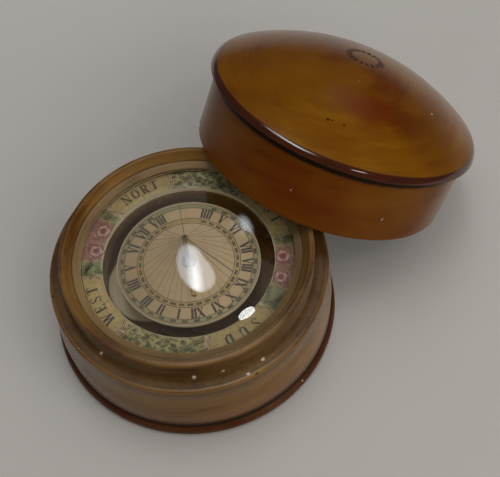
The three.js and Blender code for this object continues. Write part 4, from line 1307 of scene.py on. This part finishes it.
class SUNDIAL_OT_lid(bpy.types.Operator):
    """Turns the lid and lays it down leaning on the case, with its ring of punched marks"""

    bl_idname = "sundial.lid"
    bl_label = "Lid"

    def execute(self, context):
        s = context.scene.sundial_lid
        sizes = (s.radius, s.bore, s.skirt, s.bead, s.overhang, s.rounding, s.rise)
        radius, bore, skirt, bead, overhang, rounding, rise = (v / MM for v in sizes)
        bead_radius = radius + overhang - bead / 2
        top, hollow, ceiling = skirt + bead + rise, skirt - 1.8, 7.4
        dome = crown(bore, hollow + ceiling, sphere_size(bore, ceiling), 36)
        line = [(r, z, 0.55) for r, z, _ in reversed(dome)][:-1]
        wall = [(*line[-1][:2], 0, 0.55), (bore, hollow, 0.3, 0.7), (bore, 6.5, 0, 0.35), (bore, 0, 0.15, 0.3)]
        wall += [(radius, 0, 0.4, 0.15), (radius, 1.6, 0, 0.0), (radius, skirt - 2.6, 0, 0.05)]
        # Painted shadow: the top 1.9 mm of the skirt and the underside of the moulding are darkened nearly to the dark
        # colour, under the overhang.
        wall += [(radius, skirt - 1.9, 0, 0.6), (radius, skirt - 1.5, 0, 1.05), (radius, skirt - 0.2, 0.05, 1.2)]
        wall += [(radius, skirt, 0.05, 1.2), (bead_radius, skirt, 0.02, 1.1)]
        line += split(rounded(wall), 1.3)[1:-1]
        size = sphere_size(bead_radius, rise)
        rim_r = radius + overhang - rounding
        rim_z = top - size + math.sqrt((size - rounding) ** 2 - rim_r**2)
        low_turn = math.asin((skirt + 0.15 - rim_z) / rounding)
        high_turn = math.atan2(rim_z - top + size, rim_r)
        # The underside and the lowest part of the moulding's rounding stay dark as painted shadow too.
        line.append((radius + overhang - 0.2, skirt, 1.0))
        for i in range(16):
            a = low_turn + (high_turn - low_turn) * i / 15
            line.append((rim_r + rounding * math.cos(a), rim_z + rounding * math.sin(a), 1.0 if i < 2 else 0.1))
        # Painted highlight: a thin pale line round the crown just inside the moulding.
        for r, z, _ in crown(line[-1][0], top, size, 84)[1:]:
            line.append((r, z, -0.42 if 0.973 < r / bead_radius < 0.983 else 0.0))
        worn = [
            *((-24.3, 12.7, 22.3, 0.6, 0.1, "pit"), (-23.5, -9.4, 23.4, 0.85, 0.08, "pit")),
            *((-22.9, -10.2, 23.4, 0.6, 0.1, "pit"), (-21.6, -12.7, 23.5, 0.65, 0.08, "pit")),
            *((9.9, -11.5, 27.0, 0.55, 0.1, "pit"), (4.6, -20.2, 25.2, 0.5, 0.05, "chip")),
            *((-8.3, -5.4, 28.1, 0.4, 0.05, "chip"), (-14.4, 14.5, 25.3, 0.5, 0.06, "pit")),
            *((-21.7, 24.6, 0.2, 1.1, 0.5, "pit"), (-19.6, -26.3, 7.2, 0.5, 0.06, "chip")),
            *((-16.3, -28.5, 6.3, 0.42, 0.06, "chip"), (-11.3, -30.8, 15.0, 0.42, 0.06, "chip")),
            (-30.8, -11.2, 7.6, 0.4, 0.05, "chip"),
        ]

        def glazed(r, z):
            low = soft(z, skirt, skirt + bead / 2)
            return soft(r, bead_radius - 0.7, bead_radius - 0.4) * (0.35 + 0.65 * low) if z > skirt else 0.0

        mesh = turned(line, 480, worn=worn, glazed=glazed)
        mesh.transform(LID_PLACE)
        tones = (s.light, s.middle, s.dark, s.dirt)
        red, gold = tone(84, 32, 2), tone(106, 66, 10)
        stains = ((skirt, 0.5, tone(92, 38, 2), 0.2),)
        patches = [
            ((-15.4, -8.6, 26.2), 4.0, 3.5, red, 0.5),
            ((-13.3, -12.8, 26.0), 4.2, 3.0, red, 0.75),
            ((-10.3, -16.5, 25.7), 4.5, 3.0, tone(78, 30, 2), 0.8),
            ((-6.4, -20.0, 25.1), 4.6, 3.0, tone(72, 30, 4), 0.85),
            ((-2.4, -23.2, 24.2), 3.5, 3.0, tone(72, 30, 4), 0.6),
            ((-14.6, 11.6, 25.8), 8.0, 4.0, tone(98, 60, 8), 0.65),
            ((-29.3, 6.2, 21.0), 5.0, 3.5, tone(98, 60, 6), 0.5),
            ((-2.0, -27.5, 22.6), 7.0, 4.0, tone(84, 50, 8), 0.55),
            ((5.0, -21.0, 25.2), 7.0, 5.0, tone(76, 42, 12), 0.6),
            ((-15.0, -2.0, 27.0), 5.0, 5.0, tone(90, 52, 6), 0.5),
            ((-31.3, -9.7, 8.0), 6.0, 4.0, red, 0.55),
            ((-26.0, -20.0, 4.5), 6.0, 4.0, red, 0.5),
            ((-31.5, 9.4, 10.0), 6.0, 5.0, gold, 0.5),
            ((-22.0, -24.3, 10.5), 4.0, 4.0, gold, 0.55),
            ((-12.5, -30.3, 13.0), 5.0, 4.0, gold, 0.5),
        ]
        material = wood("lid_boxwood", tones, LID_PLACE, s.gloss, 0.2, 47.0, stains, patches, 0.35, 0.1)
        finished("turned_lid", mesh, material, "lid", ["lid"], smooth=True)

        ink = printed_ink("punched_dark", tone(26, 16, 10), tone(52, 32, 18))
        block = {"Length": 0.8 * MM, "Width": 1.45 * MM, "Height": 0.12 * MM, "Level": 0.0, "Uneven": 0.18}
        arc = {"Count": s.dots, "Circle_radius": 4.2 * MM, "Start": 0.0, "Step": 2 * math.pi / s.dots}
        marks = repeated("lid_punched_marks", ink, **arc, **block, Seed=5)
        for v in marks.vertices:
            x, y = v.co.x / MM + 3.2, v.co.y / MM + 1.1
            height = top - size + math.sqrt(size**2 - x**2 - y**2) - 0.03
            v.co = Vector((x, y, v.co.z / MM + height)) * MM
        marks.transform(LID_PLACE)
        finished("lid_punched_marks", marks, ink, "lid")
        return {"FINISHED"}


STEPS = (SUNDIAL_OT_stage, SUNDIAL_OT_case, SUNDIAL_OT_ring, SUNDIAL_OT_glass)
STEPS += (SUNDIAL_OT_card, SUNDIAL_OT_gnomon, SUNDIAL_OT_works, SUNDIAL_OT_lid)
GROUPS = {
    "sundial_case": SUNDIAL_PG_case,
    "sundial_lid": SUNDIAL_PG_lid,
    "sundial_glass": SUNDIAL_PG_glass,
    "sundial_prints": SUNDIAL_PG_prints,
    "sundial_metals": SUNDIAL_PG_metals,
    "sundial_stage": SUNDIAL_PG_stage,
}


class SUNDIAL_PT_panel(bpy.types.Panel):
    """The steps that build the object, in order"""

    bl_idname = "SUNDIAL_PT_panel"
    bl_label = "Floating sundial compass"
    bl_space_type = "VIEW_3D"
    bl_region_type = "UI"
    bl_category = "Sundial"

    def draw(self, context):
        column = self.layout.column(align=True)
        for step in STEPS:
            column.operator(step.bl_idname)


CLASSES = (*GROUPS.values(), *STEPS, SUNDIAL_PT_panel)


def register():
    for made in CLASSES:
        bpy.utils.register_class(made)
    for name, group in GROUPS.items():
        setattr(bpy.types.Scene, name, PointerProperty(type=group))


def unregister():
    for name in GROUPS:
        delattr(bpy.types.Scene, name)
    for made in reversed(CLASSES):
        bpy.utils.unregister_class(made)


def main():
    register()
    for step in STEPS:
        group, name = step.bl_idname.split(".")
        getattr(getattr(bpy.ops, group), name)()


if __name__ == "__main__":
    main()
